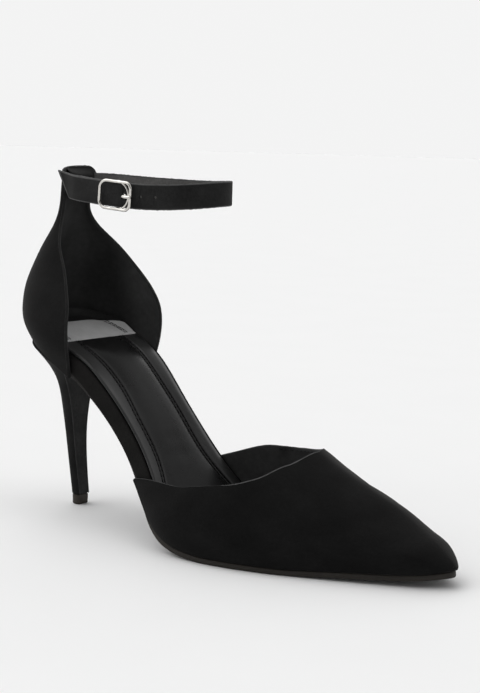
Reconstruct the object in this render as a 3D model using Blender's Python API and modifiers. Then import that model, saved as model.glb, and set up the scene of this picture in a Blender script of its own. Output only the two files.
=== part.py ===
"""Right shoe with a pointed toe, an open waist, a stiletto heel and a buckled ankle strap.

Metres, +Z up. +X points to the toe and +Y to the inner side of the foot. The origin is the centre
of the heel tip on the floor. Tables are in millimetres: "along" runs forward from the back of the
heel, "across" runs to the inner side, "lift" is measured square to the underside of the sole.
"""

import math

import bmesh
import bpy
import numpy as np
from mathutils import Vector

for old in list(bpy.data.objects):
    bpy.data.objects.remove(old, do_unlink=True)

MM = 0.001

# Driving sizes in millimetres
TIP_ALONG = 28.5        # heel tip centre, forward of the back of the heel
TOE_ALONG = 232.6       # front of the sole
BREAST_ALONG = 40.0     # flat front of the heel, where the outsole ends
SEAT_BACK = 10.7        # back of the insole board
SEAT_FRONT = 48.0       # where the heel seat's round outline reaches its full width
SEAT_SQUARE = 2.4       # roundness of the heel seat's outline; 2 is an ellipse
TOE_ROUND = 11.0        # length of the rounded toe tip
GAP = 0.3               # clearance between pieces that meet
SLOPE_SPAN = 5.0        # reach of the slope that tilts what stands on the sole
OUTSOLE_THICK = 2.6
OUTSOLE_REACH = 0.6     # outsole beyond the front of the sole line
INSOLE_THICK = 1.6
INSOLE_INSET = 0.4      # insole edge inside the board's edge
INSOLE_TUCK = 0.8       # further inset under the vamp
PLATE_STATIONS = 38     # sections of outsole, board and insole
PLATE_END = 0.25        # small flat at the toe end of each plate
VAMP_WALL = 1.7
VAMP_REACH = 0.9        # vamp beyond the front of the sole line
COUNTER_WALL = 1.8


def table(columns, rows):
    """Columns of a table by name."""
    return {name: np.array(values, float) for name, values in zip(columns.split(), zip(*rows))}


# Underside of the sole with the board's outline and thickness, heel to toe
SOLE = table("along height axis lateral medial board", [
    (0, 81.6, 0.0, 27.2, 27.2, 6.6),
    (20, 77.0, 0.0, 27.3, 27.3, 6.9),
    (36, 71.1, 0.0, 27.4, 27.2, 7.1),
    (46, 66.2, 0.0, 27.6, 26.2, 7.3),
    (56, 58.9, 0.0, 27.6, 24.0, 7.3),
    (67, 48.9, 0.0, 27.4, 21.5, 7.1),
    (79, 36.2, 0.0, 28.0, 20.9, 6.9),
    (91, 22.8, 0.0, 31.0, 22.5, 6.4),
    (104, 10.2, 0.0, 36.4, 26.8, 4.8),
    (117, 3.0, 0.0, 39.4, 31.0, 2.7),
    (129, 0.6, 0.0, 39.8, 34.6, 1.7),
    (142, -0.4, 0.2, 39.0, 36.0, 1.5),
    (156, -0.5, 0.6, 36.4, 34.6, 1.5),
    (170, -0.1, 1.2, 32.4, 30.8, 1.5),
    (186, 0.8, 2.0, 26.4, 25.2, 1.5),
    (202, 1.6, 2.8, 20.0, 19.2, 1.5),
    (218, 2.4, 3.4, 12.8, 12.6, 1.5),
    (231.5, 4.0, 3.6, 6.6, 6.8, 1.5),
])
# Outsole edge beyond the board's outline: tucked in at the waist, a thin ledge at the forefoot
SOLE_EDGE = table("along edge", [
    (40, -2.2), (90, -2.2), (104, 0.2), (118, 1.5), (140, 1.6), (200, 1.3), (231.5, 0.7),
])
# Vamp sections: height of the ridge, its shift to the inner side, and the bulge of each side
VAMP = table("along ridge crest lateral medial", [
    (89, 62.0, 2.5, 0.9, 1.0),
    (96, 62.4, 3.0, 1.3, 2.8),
    (104, 63.0, 3.5, 1.6, 3.8),
    (117, 61.9, 4.0, 1.7, 2.8),
    (129, 59.3, 4.2, 1.7, 1.9),
    (141, 55.7, 4.2, 1.6, 1.6),
    (154, 50.7, 4.0, 1.5, 1.5),
    (167, 44.5, 3.4, 1.4, 1.4),
    (180, 38.4, 2.8, 1.3, 1.3),
    (194, 31.6, 2.0, 1.2, 1.2),
    (208, 24.9, 1.2, 1.1, 1.1),
    (221, 16.5, 0.5, 1.0, 1.0),
    (231.5, 10.4, 0.0, 1.0, 1.0),
])
# Vamp top edge as a share of each side's girth, from the waist to the throat
TOPLINE = table("along lateral medial", [
    (89, 0.02, 0.07),
    (92, 0.107, 0.212),
    (96, 0.187, 0.372),
    (102, 0.264, 0.465),
    (112, 0.329, 0.503),
    (128, 0.382, 0.522),
    (138, 0.424, 0.56),
    (145, 0.459, 0.60),
    (151, 0.521, 0.655),
    (156, 0.595, 0.73),
    (159.5, 0.68, 0.81),
    (163, 0.80, 0.915),
    (165, 1.0, 1.0),
])
THROAT_ALONG = 165.0
RIDGE_PEAK = 1.6        # roundness of the arch over the foot; 2 is an ellipse
CREST_POWER = 1.5       # how late the section leans to its crest
GIRTH_LIFT = 8.0        # height of the vamp's widest line above its lower edge
GIRTH_FULL = 14.0       # ridge height from which the widest line has that height
TOE_OVERHANG = 0.5      # how far the toe leans out over its lower edge
LEAN_START = 205.0      # station where the toe starts to lean
SECTION_SAMPLES = 61    # points that measure a section's girth
RIB_POINTS = 12         # points on each rib of the mesh
REAR_RIBS = 20
FRONT_RIBS = 17

# Heel cup sections, from the rim on the heel to the top of the tab
COUNTER = table("height back front half", [
    (81.6, 8.6, 48.0, 29.4),
    (86.0, 5.2, 49.2, 32.2),
    (92.0, 2.6, 49.7, 33.6),
    (99.0, 1.4, 48.7, 31.9),
    (107.0, 2.2, 45.3, 29.1),
    (116.0, 5.7, 39.7, 24.9),
    (126.0, 11.5, 32.0, 20.0),
    (136.0, 16.4, 25.3, 12.4),
    (144.0, 18.1, 23.7, 9.2),
    (152.0, 18.9, 25.5, 9.5),
    (157.0, 19.5, 27.0, 10.0),
    (162.6, 20.2, 27.8, 10.6),
])
TAB_NEAR = 10.0         # height of the tab's rounded corner on the outer side
TAB_FAR = 5.5           # and on the inner side
TAB_TOP = 0.12          # share of the tab's wrap that its top edge keeps
TAB_SIDE = 40.0         # degrees by which the middle of the top edge lies to the inner side
CUP_LEVEL = 18.0        # height over which the cup's rows turn from the seat's slope to level
CUP_POINTS = 25         # points on each row of the cup
CUP_ROWS = 20
TAB_TURNS = (20, 40, 57, 72, 83, 90)    # degrees round the tab's corners with a row each

# Heel sections, from under the seat to the tip
HEEL = table("height back front half wrap", [
    (81.3, 9.6, 40.0, 28.6, 90),
    (76.0, 12.4, 38.0, 24.8, 91),
    (70.5, 14.2, 33.8, 19.2, 94),
    (64.0, 16.3, 30.2, 13.2, 100),
    (57.0, 17.7, 28.3, 9.2, 110),
    (47.0, 18.8, 27.8, 6.6, 119),
    (35.0, 20.4, 28.0, 5.2, 125),
    (22.0, 22.2, 29.0, 4.5, 128),
    (11.0, 23.8, 30.4, 4.1, 130),
    (5.3, 24.6, 31.2, 3.9, 130),
])
HEEL_LEVEL = 14.0       # depth over which the heel's rings turn from the seat's slope to level
HEEL_SQUARE = (60.0, 16.0)      # height where rings start to square up, and over how much
HEEL_RINGS = 26
HEEL_POINTS = 25        # points on the round back of each ring
TIP_HEIGHT = 5.0
# Heel tip rings: height, and how much smaller than the heel's last ring
TIP = table("height less", [
    (0.0, 0.8),
    (0.4, 0.3),
    (TIP_HEIGHT - 0.3, 0.2),
    (TIP_HEIGHT, 0.4),
])

STRAP_WIDTH = 11.1
STRAP_THICK = 1.4
# Ankle strap route: middle of the band, from the buckle's bar round the ankle to the free end
STRAP = table("along across height", [
    (67.6, -19.2, 151.3),
    (51.4, -17.4, 152.1),
    (37.4, -12.2, 152.8),
    (26.4, -6.5, 153.2),
    (22.5, 0.0, 153.6),
    (26.4, 6.5, 153.9),
    (37.4, 14.2, 153.6),
    (53.2, 23.7, 152.5),
    (71.8, 28.5, 151.9),
    (88.6, 26.8, 152.1),
    (102.0, 18.4, 152.6),
    (106.8, 6.2, 152.5),
    (102.6, -5.8, 151.5),
    (91.0, -16.1, 150.6),
    (79.3, -20.5, 150.6),
    (67.4, -21.7, 151.3),
    (51.6, -20.0, 152.2),
    (38.8, -16.6, 152.9),
    (30.0, -12.6, 153.8),
    (27.2, -11.8, 154.2),
])
STRAP_RINGS = 84
TAIL_SLANT = 6.0        # half the slant of the strap's cut end
TAIL_RINGS = 3          # rings over which the slant comes in
BUCKLE_ALONG = 68.8     # middle of the buckle on the strap's outer side
FRAME_LONG = 17.6       # buckle frame along the strap, wire centre to wire centre
FRAME_TALL = 13.0       # buckle frame across the strap, wire centre to wire centre
FRAME_CORNER = 3.0
FRAME_WIRE = 1.3
BAR_BEND = 1.0          # bend where the middle bar leaves the frame
PIN_WIRE = 1.1
PIN_HOLE = 2.2          # diameter of the strap's hole at the pin
PIN_REACH = 3.9         # from the buckle's bar to the strap's hole


def spline(data, value, key="along"):
    """Natural cubic curve through one column of a table."""
    x = data[key]
    y = data[value]
    count = len(x)
    step = np.diff(x)
    matrix = np.eye(count)
    right = np.zeros(count)
    for i in range(1, count - 1):
        matrix[i, i - 1:i + 2] = step[i - 1], 2 * (step[i - 1] + step[i]), step[i]
        right[i] = 6 * ((y[i + 1] - y[i]) / step[i] - (y[i] - y[i - 1]) / step[i - 1])
    bend = np.linalg.solve(matrix, right)

    def at(where):
        i = int(np.clip(np.searchsorted(x, where) - 1, 0, count - 2))
        h = step[i]
        a = (x[i + 1] - where) / h
        b = (where - x[i]) / h
        curve = (a ** 3 - a) * bend[i] + (b ** 3 - b) * bend[i + 1]
        return a * y[i] + b * y[i + 1] + curve * h * h / 6

    return at


def place(along, across, up):
    """World position of a point given in millimetres."""
    return Vector(((along - TIP_ALONG) * MM, across * MM, up * MM))


def round_end(distance, length, power=2.0):
    """Width factor of a rounded end, from 0 at the end to 1 at its full length."""
    inside = 1.0 - min(max(distance / length, 0.0), 1.0)
    return (1.0 - inside ** power) ** (1.0 / power)


sole_height = spline(SOLE, "height")
sole_axis = spline(SOLE, "axis")
board_lateral = spline(SOLE, "lateral")
board_medial = spline(SOLE, "medial")
board_thick = spline(SOLE, "board")
sole_edge = spline(SOLE_EDGE, "edge")


def underside(along):
    """Height of the sole's underside; the tread is flat on the floor."""
    return max(0.0, sole_height(along))


def on_sole(along, across, lift):
    """World position above a station of the sole line, measured square to it."""
    slope = (underside(along + SLOPE_SPAN) - underside(along - SLOPE_SPAN)) / (2 * SLOPE_SPAN)
    length = math.hypot(1.0, slope)
    forward = along - slope / length * lift
    return place(forward, across, underside(along) + lift / length)


def stations(start, stop, count, ease=0.7):
    """Station list that is closer at both ends."""
    values = []
    for i in range(count + 1):
        t = i / count
        eased = 0.5 - 0.5 * math.cos(math.pi * t)
        values.append(start + (stop - start) * (ease * eased + (1 - ease) * t))
    return values


def material(name, colour, roughness, metallic=0.0):
    """Principled material."""
    made = bpy.data.materials.new(name)
    made.use_nodes = True
    shader = made.node_tree.nodes["Principled BSDF"]
    shader.inputs["Base Color"].default_value = (*colour, 1.0)
    shader.inputs["Roughness"].default_value = roughness
    shader.inputs["Metallic"].default_value = metallic
    return made


def add_object(name, mesh, look, smooth=True):
    """Object for one sub-part in the shoe's collection."""
    mesh.materials.append(look)
    for face in mesh.polygons:
        face.use_smooth = smooth
    made = bpy.data.objects.new(name, mesh)
    shoe.objects.link(made)
    return made


def loft(name, rings, look):
    """Closed solid through a list of rings with equal point counts."""
    solid = bmesh.new()
    rows = [[solid.verts.new(point) for point in ring] for ring in rings]
    count = len(rows[0])
    for low, high in zip(rows, rows[1:]):
        for i in range(count):
            j = (i + 1) % count
            solid.faces.new((low[i], low[j], high[j], high[i]))
    solid.faces.new(rows[0])
    solid.faces.new(rows[-1])
    bmesh.ops.remove_doubles(solid, verts=solid.verts, dist=0.00001)
    bmesh.ops.recalc_face_normals(solid, faces=solid.faces)
    mesh = bpy.data.meshes.new(name)
    solid.to_mesh(mesh)
    solid.free()
    return add_object(name, mesh, look)


def shell(name, strips, wall, look):
    """Open surface of point strips, thickened inward to a wall."""
    surface = bmesh.new()
    for strip in strips:
        rows = [[surface.verts.new(point) for point in row] for row in strip]
        for low, high in zip(rows, rows[1:]):
            for i in range(len(low) - 1):
                surface.faces.new((low[i], low[i + 1], high[i + 1], high[i]))
    bmesh.ops.remove_doubles(surface, verts=surface.verts, dist=0.00002)
    bmesh.ops.dissolve_degenerate(surface, edges=surface.edges, dist=0.000005)
    mesh = bpy.data.meshes.new(name)
    surface.to_mesh(mesh)
    surface.free()
    made = add_object(name, mesh, look)
    thicken = made.modifiers.new("wall", "SOLIDIFY")
    thicken.thickness = wall * MM
    thicken.offset = -1.0
    return made


def plate_section(left, right, low, high, corner):
    """Ring of a plate's cross-section as (across, lift) with rounded edges."""
    ring = []
    steps = 3
    middle = (left + right) / 2
    half = (right - left) / 2
    corner = min(corner, 0.48 * (high - low), 0.9 * half)
    for side, level, start in ((1, low, -90), (1, high, 0), (-1, high, 90), (-1, low, 180)):
        inward = 1 if level == low else -1
        centre = (middle + side * (half - corner), level + inward * corner)
        for k in range(steps):
            angle = math.radians(start + 90 * k / (steps - 1))
            ring.append((centre[0] + corner * math.cos(angle), centre[1] + corner * math.sin(angle)))
    return ring


def board_edges(along, grow, toe, back=None):
    """Lateral and medial edge of the board's outline, grown outward by some millimetres."""
    seat = round_end(along - back, SEAT_FRONT - back, SEAT_SQUARE) if back else 1.0
    shape = seat * round_end(toe - along, TOE_ROUND)
    axis = sole_axis(along)
    lateral = axis - (board_lateral(along) + grow) * shape
    medial = axis + (board_medial(along) + grow) * shape
    return lateral, medial


def plate(name, start, toe, edges, low, high, corner, look):
    """Plate that follows the sole line between two lifts."""
    rings = []
    for along in stations(start, toe - PLATE_END, PLATE_STATIONS):
        left, right = edges(along)
        section = plate_section(left, right, low(along), high(along), corner)
        rings.append([on_sole(along, across, lift) for across, lift in section])
    return loft(name, rings, look)


def board_top(along):
    """Lift of the insole board's upper face."""
    return OUTSOLE_THICK + GAP + board_thick(along)


def make_outsole(look):
    """Thin sole from the heel breast to the toe."""
    toe = TOE_ALONG + OUTSOLE_REACH

    def edges(along):
        return board_edges(along, sole_edge(along), toe)

    plate("outsole", BREAST_ALONG + GAP, toe, edges,
          lambda along: 0.0, lambda along: OUTSOLE_THICK, 0.7, look)


def make_board(look):
    """Covered board, bare at the waist."""
    toe = TOE_ALONG - VAMP_WALL - GAP

    def edges(along):
        return board_edges(along, 0.0, toe, SEAT_BACK)

    plate("insole_board", SEAT_BACK + GAP / 2, toe, edges,
          lambda along: OUTSOLE_THICK + GAP, board_top, 0.8, look)


def make_insole(look):
    """Leather footbed on the board, narrower where the vamp closes over it."""
    back = SEAT_BACK + INSOLE_INSET
    toe = TOE_ALONG - VAMP_WALL - GAP - 2 * INSOLE_TUCK

    def edges(along):
        under_vamp = min(max((along - 150.0) / 50.0, 0.0), 1.0)
        return board_edges(along, -INSOLE_INSET - INSOLE_TUCK * under_vamp, toe, back)

    plate("insole", back + GAP / 2, toe, edges,
          lambda along: board_top(along) + GAP,
          lambda along: board_top(along) + GAP + INSOLE_THICK, 0.6, look)


vamp_ridge = spline(VAMP, "ridge")
vamp_bulge = {-1: spline(VAMP, "lateral"), 1: spline(VAMP, "medial")}
vamp_crest = spline(VAMP, "crest")
topline = {-1: spline(TOPLINE, "lateral"), 1: spline(TOPLINE, "medial")}


def vamp_rib(along, side):
    """Points from the vamp's lower edge up one side to its top edge or ridge."""
    shape = round_end(TOE_ALONG + VAMP_REACH - along, TOE_ROUND)
    base = OUTSOLE_THICK + GAP
    grow = GAP + VAMP_WALL
    half = ((board_lateral(along) if side < 0 else board_medial(along)) + grow) * shape
    bulge = vamp_bulge[side](along) * shape
    ridge = base + (vamp_ridge(along) - base) * shape
    girth = base + GIRTH_LIFT * shape * min(1.0, (ridge - base) / GIRTH_FULL)
    widest = half + bulge
    under = math.acos(min(1.0, half / widest)) if widest > 0 else 0.0
    lean = TOE_OVERHANG * max((along - LEAN_START) / (TOE_ALONG - LEAN_START), 0.0) ** 2
    samples = []
    for angle in np.linspace(-under, math.pi / 2, SECTION_SAMPLES):
        if angle < 0:
            across = widest * math.cos(angle)
            lift = girth + (girth - base) * math.sin(angle) / math.sin(under)
        else:
            across = widest * max(math.cos(angle), 0.0) ** (2 / RIDGE_PEAK)
            lift = girth + (ridge - girth) * math.sin(angle) ** (2 / RIDGE_PEAK)
        samples.append((across, lift))
    kept = np.array(samples)
    run = np.concatenate([[0], np.cumsum(np.hypot(*np.diff(kept, axis=0).T))])
    share = topline[side](along) if along < THROAT_ALONG else 1.0
    rib = []
    for t in np.linspace(0, share * run[-1], RIB_POINTS):
        across = np.interp(t, run, kept[:, 0])
        lift = np.interp(t, run, kept[:, 1])
        rise = min(1.0, (lift - base) / max(girth - base, 0.01))
        height = max(lift - base, 0.0) / max(ridge - base, 0.01)
        shift = vamp_crest(along) * shape * height ** CREST_POWER
        rib.append(on_sole(along, sole_axis(along) + side * across + shift, lift)
                   + Vector((lean * rise * MM, 0, 0)))
    return rib


def make_vamp(look):
    """Hollow forepart, one strip of ribs on each side of the ridge."""
    start = VAMP["along"][0]
    reach = THROAT_ALONG - start
    rear = [start + reach * math.sin(math.pi / 2 * t ** 0.9) for t in np.linspace(0, 1, REAR_RIBS + 1)]
    toe = TOE_ALONG + VAMP_REACH
    front = [toe - (toe - THROAT_ALONG) * t ** 1.7 for t in np.linspace(1, 0, FRONT_RIBS + 1)[1:]]
    strips = []
    for side in (-1, 1):
        strips.append([vamp_rib(along, side)[::side] for along in rear + front])
    shell("vamp", strips, VAMP_WALL, look)


counter_back = spline(COUNTER, "back", "height")
counter_front = spline(COUNTER, "front", "height")
counter_half = spline(COUNTER, "half", "height")


def seat_drop(along, reference):
    """How far the seat line lies above or below its height at a reference station."""
    return underside(along) - underside(reference)


def counter_row(height):
    """One U-shaped row of the heel cup, from its outer front edge round the back."""
    back = counter_back(height)
    front = counter_front(height)
    half = counter_half(height)
    top = COUNTER["height"][-1]
    low = COUNTER["height"][0]
    drop = top - height
    tilt = max(0.0, 1.0 - (height - low) / CUP_LEVEL) ** 2
    middle = math.radians(TAB_SIDE)
    first = middle - (math.pi / 2 + middle) * (TAB_TOP + (1 - TAB_TOP) * round_end(drop, TAB_NEAR))
    last = middle + (math.pi / 2 - middle) * (TAB_TOP + (1 - TAB_TOP) * round_end(drop, TAB_FAR))
    power = 2.0 / SEAT_SQUARE
    row = []
    for turn in np.linspace(first, last, CUP_POINTS):
        along = front - (front - back) * max(math.cos(turn), 0.0) ** power
        across = half * abs(math.sin(turn)) ** power * math.copysign(1, turn)
        row.append(place(along, across, height + tilt * seat_drop(along, SEAT_BACK)))
    return row[::-1]


def make_counter(look):
    """Hollow heel cup with its neck and tab."""
    low = COUNTER["height"][0]
    top = COUNTER["height"][-1]
    heights = list(np.linspace(low, top - TAB_NEAR, CUP_ROWS))
    heights += [top - TAB_NEAR * (1 - math.sin(math.radians(turn))) for turn in TAB_TURNS]
    shell("counter", [[counter_row(height) for height in heights]], COUNTER_WALL, look)


def heel_ring(height, back, front, half, wrap):
    """D-shaped ring of the heel: round back, flat breast."""
    limit = math.radians(wrap)
    square = 2.0 + (SEAT_SQUARE - 2.0) * max(0.0, (height - HEEL_SQUARE[0]) / HEEL_SQUARE[1])
    power = 2.0 / square
    reach = (front - back) / (1.0 - math.copysign(abs(math.cos(limit)) ** power, math.cos(limit)))
    tilt = max(0.0, 1.0 - (HEEL["height"][0] - height) / HEEL_LEVEL) ** 1.5
    ring = []
    for turn in np.linspace(-limit, limit, HEEL_POINTS):
        along = back + reach * (1.0 - math.copysign(abs(math.cos(turn)) ** power, math.cos(turn)))
        across = half * math.copysign(abs(math.sin(turn)) ** power, turn)
        ring.append(place(along, across, height + tilt * seat_drop(along, SEAT_BACK)))
    breast = [ring[-1].lerp(ring[0], t) for t in (0.25, 0.5, 0.75)]
    return ring + breast


def make_heel(look, tip_look):
    """Stiletto heel and its hard tip."""
    names = ("back", "front", "half", "wrap")
    upward = {name: HEEL[name][::-1] for name in HEEL}
    columns = [spline(upward, name, "height") for name in names]
    top = HEEL["height"][0]
    low = HEEL["height"][-1]
    rings = []
    for t in np.linspace(0, 1, HEEL_RINGS + 1):
        height = top - (top - low) * t ** 1.25
        rings.append(heel_ring(height, *[column(height) for column in columns]))
    loft("heel", rings, look)
    back, front, half, wrap = [HEEL[name][-1] for name in names]
    rings = []
    for height, less in zip(TIP["height"], TIP["less"]):
        rings.append(heel_ring(height, back + less, front - less, half - less, wrap))
    loft("heel_tip", rings, tip_look)


def strap_route():
    """Curves of the strap's middle line and its whole run."""
    points = np.stack([STRAP["along"], STRAP["across"], STRAP["height"]], axis=1)
    run = np.concatenate([[0], np.cumsum(np.linalg.norm(np.diff(points, axis=0), axis=1))])
    data = {"run": run, "x": points[:, 0], "y": points[:, 1], "z": points[:, 2]}
    return [spline(data, axis, "run") for axis in "xyz"], run[-1]


def strap_frame(curves, run):
    """Point, heading, outward and upright directions at a distance along the strap."""
    point = Vector([curve(run) for curve in curves])
    ahead = Vector([curve(run + 0.2) for curve in curves])
    heading = (ahead - point).normalized()
    outward = Vector((-heading.y, heading.x, 0)).normalized()
    upright = heading.cross(outward)
    if upright.z < 0:
        upright = -upright
    return point, heading, outward, upright


def buckle_run(curves, length):
    """Distance along the strap of the buckle's middle, on the outer lateral stretch."""
    runs = np.linspace(0.6 * length, length, 400)
    return min(runs, key=lambda run: abs(curves[0](run) - BUCKLE_ALONG))


def buckle_point(frame, back, out, up):
    """World position in the buckle's own directions: toward the back, outward and up."""
    point, heading, outward, upright = frame
    return place(*(point + heading * back + outward * out + upright * up))


def make_strap(look):
    """Ankle strap as one band from the buckle's bar to the free end, with the pin's hole."""
    curves, length = strap_route()
    rings = []
    for i in range(STRAP_RINGS + 1):
        point, heading, outward, upright = strap_frame(curves, length * i / STRAP_RINGS)
        slant = TAIL_SLANT * max(0.0, 1.0 - (STRAP_RINGS - i) / TAIL_RINGS)
        ring = []
        for side, level in ((1, -1), (1, 1), (-1, 1), (-1, -1)):
            corner = point + outward * (side * STRAP_THICK / 2) + upright * (level * STRAP_WIDTH / 2)
            ring.append(place(*(corner + heading * (level * slant))))
        rings.append(ring)
    strap = loft("ankle_strap", rings, look)
    frame = strap_frame(curves, buckle_run(curves, length))
    bpy.ops.mesh.primitive_cylinder_add(vertices=20, radius=PIN_HOLE / 2 * MM, depth=2 * STRAP_THICK * MM)
    punch = bpy.context.object
    punch.name = "pin_hole_cutter"
    punch.location = buckle_point(frame, -PIN_REACH, 0.0, 0.0)
    punch.rotation_mode = "QUATERNION"
    punch.rotation_quaternion = frame[2].to_track_quat("Z", "Y")
    move_to(punch, cutters)
    punch.hide_render = True
    punch.display_type = "WIRE"
    cut = strap.modifiers.new("pin_hole", "BOOLEAN")
    cut.operation = "DIFFERENCE"
    cut.solver = "EXACT"
    cut.object = punch


def move_to(made, collection):
    """Keep an object in one collection only."""
    for old_home in list(made.users_collection):
        old_home.objects.unlink(made)
    collection.objects.link(made)


def wire(name, points, diameter, closed):
    """Round wire through points as a closed mesh."""
    curve = bpy.data.curves.new(name, "CURVE")
    curve.dimensions = "3D"
    curve.bevel_depth = diameter / 2 * MM
    curve.bevel_resolution = 2
    curve.use_fill_caps = not closed
    line = curve.splines.new("POLY")
    line.points.add(len(points) - 1)
    for knot, point in zip(line.points, points):
        knot.co = (*point, 1.0)
    line.use_cyclic_u = closed
    source = bpy.data.objects.new(name, curve)
    shoe.objects.link(source)
    bpy.context.view_layer.update()
    mesh = bpy.data.meshes.new_from_object(source.evaluated_get(bpy.context.evaluated_depsgraph_get()))
    bpy.data.objects.remove(source, do_unlink=True)
    solid = bmesh.new()
    solid.from_mesh(mesh)
    bmesh.ops.remove_doubles(solid, verts=solid.verts, dist=0.00001)
    bmesh.ops.recalc_face_normals(solid, faces=solid.faces)
    solid.to_mesh(mesh)
    solid.free()
    mesh.materials.clear()
    return mesh


def make_buckle(look, pin_look):
    """Rounded wire frame with its bar under the strap, and the pin."""
    curves, length = strap_route()
    frame = strap_frame(curves, buckle_run(curves, length))
    out = STRAP_THICK / 2 + GAP + FRAME_WIRE / 2
    outline = []
    for side, level, start in ((1, -1, -90), (1, 1, 0), (-1, 1, 90), (-1, -1, 180)):
        centre = (side * (FRAME_LONG / 2 - FRAME_CORNER), level * (FRAME_TALL / 2 - FRAME_CORNER))
        for angle in np.radians(np.linspace(start, start + 90, 6)):
            outline.append(buckle_point(frame, centre[0] + FRAME_CORNER * math.cos(angle), out,
                                        centre[1] + FRAME_CORNER * math.sin(angle)))
    buckle = add_object("buckle_frame", wire("buckle_frame", outline, FRAME_WIRE, True), look)
    rail = FRAME_TALL / 2
    route = [(out, rail), (BAR_BEND - out, rail), (0.3 * BAR_BEND - out, rail - 0.3 * BAR_BEND),
             (-out, rail - BAR_BEND)]
    bar = [buckle_point(frame, 0.0, o, u) for o, u in route]
    bar += [buckle_point(frame, 0.0, o, -u) for o, u in reversed(route)]
    post = add_object("buckle_bar_join", wire("buckle_bar_join", bar, FRAME_WIRE, False), look)
    move_to(post, cutters)
    post.hide_render = True
    post.display_type = "WIRE"
    join = buckle.modifiers.new("bar", "BOOLEAN")
    join.operation = "UNION"
    join.solver = "EXACT"
    join.object = post
    top = out + FRAME_WIRE / 2 + GAP + PIN_WIRE / 2
    root = FRAME_WIRE / 2 + GAP + PIN_WIRE / 2
    path = [(root, -out), (PIN_REACH - 1.0, -out), (PIN_REACH - 0.25, -0.75 * out),
            (PIN_REACH, 0.0), (PIN_REACH + 0.3, 0.6 * out), (PIN_REACH + 1.2, 0.9 * top),
            (PIN_REACH + 2.4, top), (FRAME_LONG / 2 + 0.9, top)]
    pin = wire("buckle_pin", [buckle_point(frame, -back, o, 0.0) for back, o in path], PIN_WIRE, False)
    add_object("buckle_pin", pin, pin_look)


shoe = bpy.data.collections.new("stiletto_shoe")
bpy.context.scene.collection.children.link(shoe)
cutters = bpy.data.collections.new("cutters")
bpy.context.scene.collection.children.link(cutters)

suede = (0.012, 0.011, 0.011)
make_outsole(material("outsole_look", (0.03, 0.03, 0.03), 0.6))
make_board(material("board_look", suede, 0.95))
make_insole(material("insole_look", (0.03, 0.028, 0.028), 0.45))
make_vamp(material("vamp_look", suede, 0.95))
make_counter(material("counter_look", suede, 0.95))
make_heel(material("heel_look", suede, 0.95), material("heel_tip_look", (0.01, 0.01, 0.01), 0.4))
make_strap(material("strap_look", suede, 0.95))
make_buckle(material("buckle_look", (0.75, 0.73, 0.70), 0.25, 1.0),
            material("pin_look", (0.75, 0.73, 0.70), 0.25, 1.0))
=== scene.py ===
"""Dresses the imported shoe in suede, leather, thread and metal, and sets floor, light and camera.

Metres, +Z up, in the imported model's frame. Tables are in millimetres: "along" runs forward from the
back of the heel, "across" to the inner side of the foot, "lift" square to the underside of the sole.
"""

import math

import bmesh
import bpy
import numpy as np
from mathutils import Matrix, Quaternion, Vector
from mathutils.bvhtree import BVHTree


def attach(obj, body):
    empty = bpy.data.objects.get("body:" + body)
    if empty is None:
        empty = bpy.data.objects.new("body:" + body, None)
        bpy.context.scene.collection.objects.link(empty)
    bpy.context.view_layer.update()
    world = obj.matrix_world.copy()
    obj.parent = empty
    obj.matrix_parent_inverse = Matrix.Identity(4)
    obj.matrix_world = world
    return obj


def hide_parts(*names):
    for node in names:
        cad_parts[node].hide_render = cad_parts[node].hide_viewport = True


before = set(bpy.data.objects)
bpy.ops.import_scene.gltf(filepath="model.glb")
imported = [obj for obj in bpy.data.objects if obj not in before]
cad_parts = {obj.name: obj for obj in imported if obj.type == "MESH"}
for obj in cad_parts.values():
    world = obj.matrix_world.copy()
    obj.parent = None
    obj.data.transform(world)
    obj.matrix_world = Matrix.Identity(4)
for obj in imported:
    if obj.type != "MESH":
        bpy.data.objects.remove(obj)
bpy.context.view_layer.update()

MM = 0.001
MERGE = 0.00002  # points of a shell that are closer become one, in metres
SLIVER = 0.000005  # edges this short are taken out, in metres
SIDES = (-1, 1)  # lateral and medial
LEAST = 0.01  # keeps a division away from nothing
LEAST_STEP = 0.001
SECTION_STEP = 0.2  # over which a heading is taken

# Sizes of the shoe, in millimetres
TIP_ALONG = 28.5
TOE_ALONG = 232.6
BREAST_ALONG = 40.0
SEAT_BACK = 10.7
SEAT_FRONT = 48.0
SEAT_SQUARE = 2.4
TOE_ROUND = 11.0
GAP = 0.3
SLOPE_SPAN = 9.0
OUTSOLE_THICK = 2.6
OUTSOLE_REACH = 0.6
INSOLE_THICK = 1.6
INSOLE_INSET = 0.4
INSOLE_TUCK = 0.8
VAMP_WALL = 1.7
VAMP_REACH = 0.9
COUNTER_WALL = 1.8


def table(columns, rows):
    """Columns of a table by name."""
    return {name: np.array(values, float) for name, values in zip(columns.split(), zip(*rows))}


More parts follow.
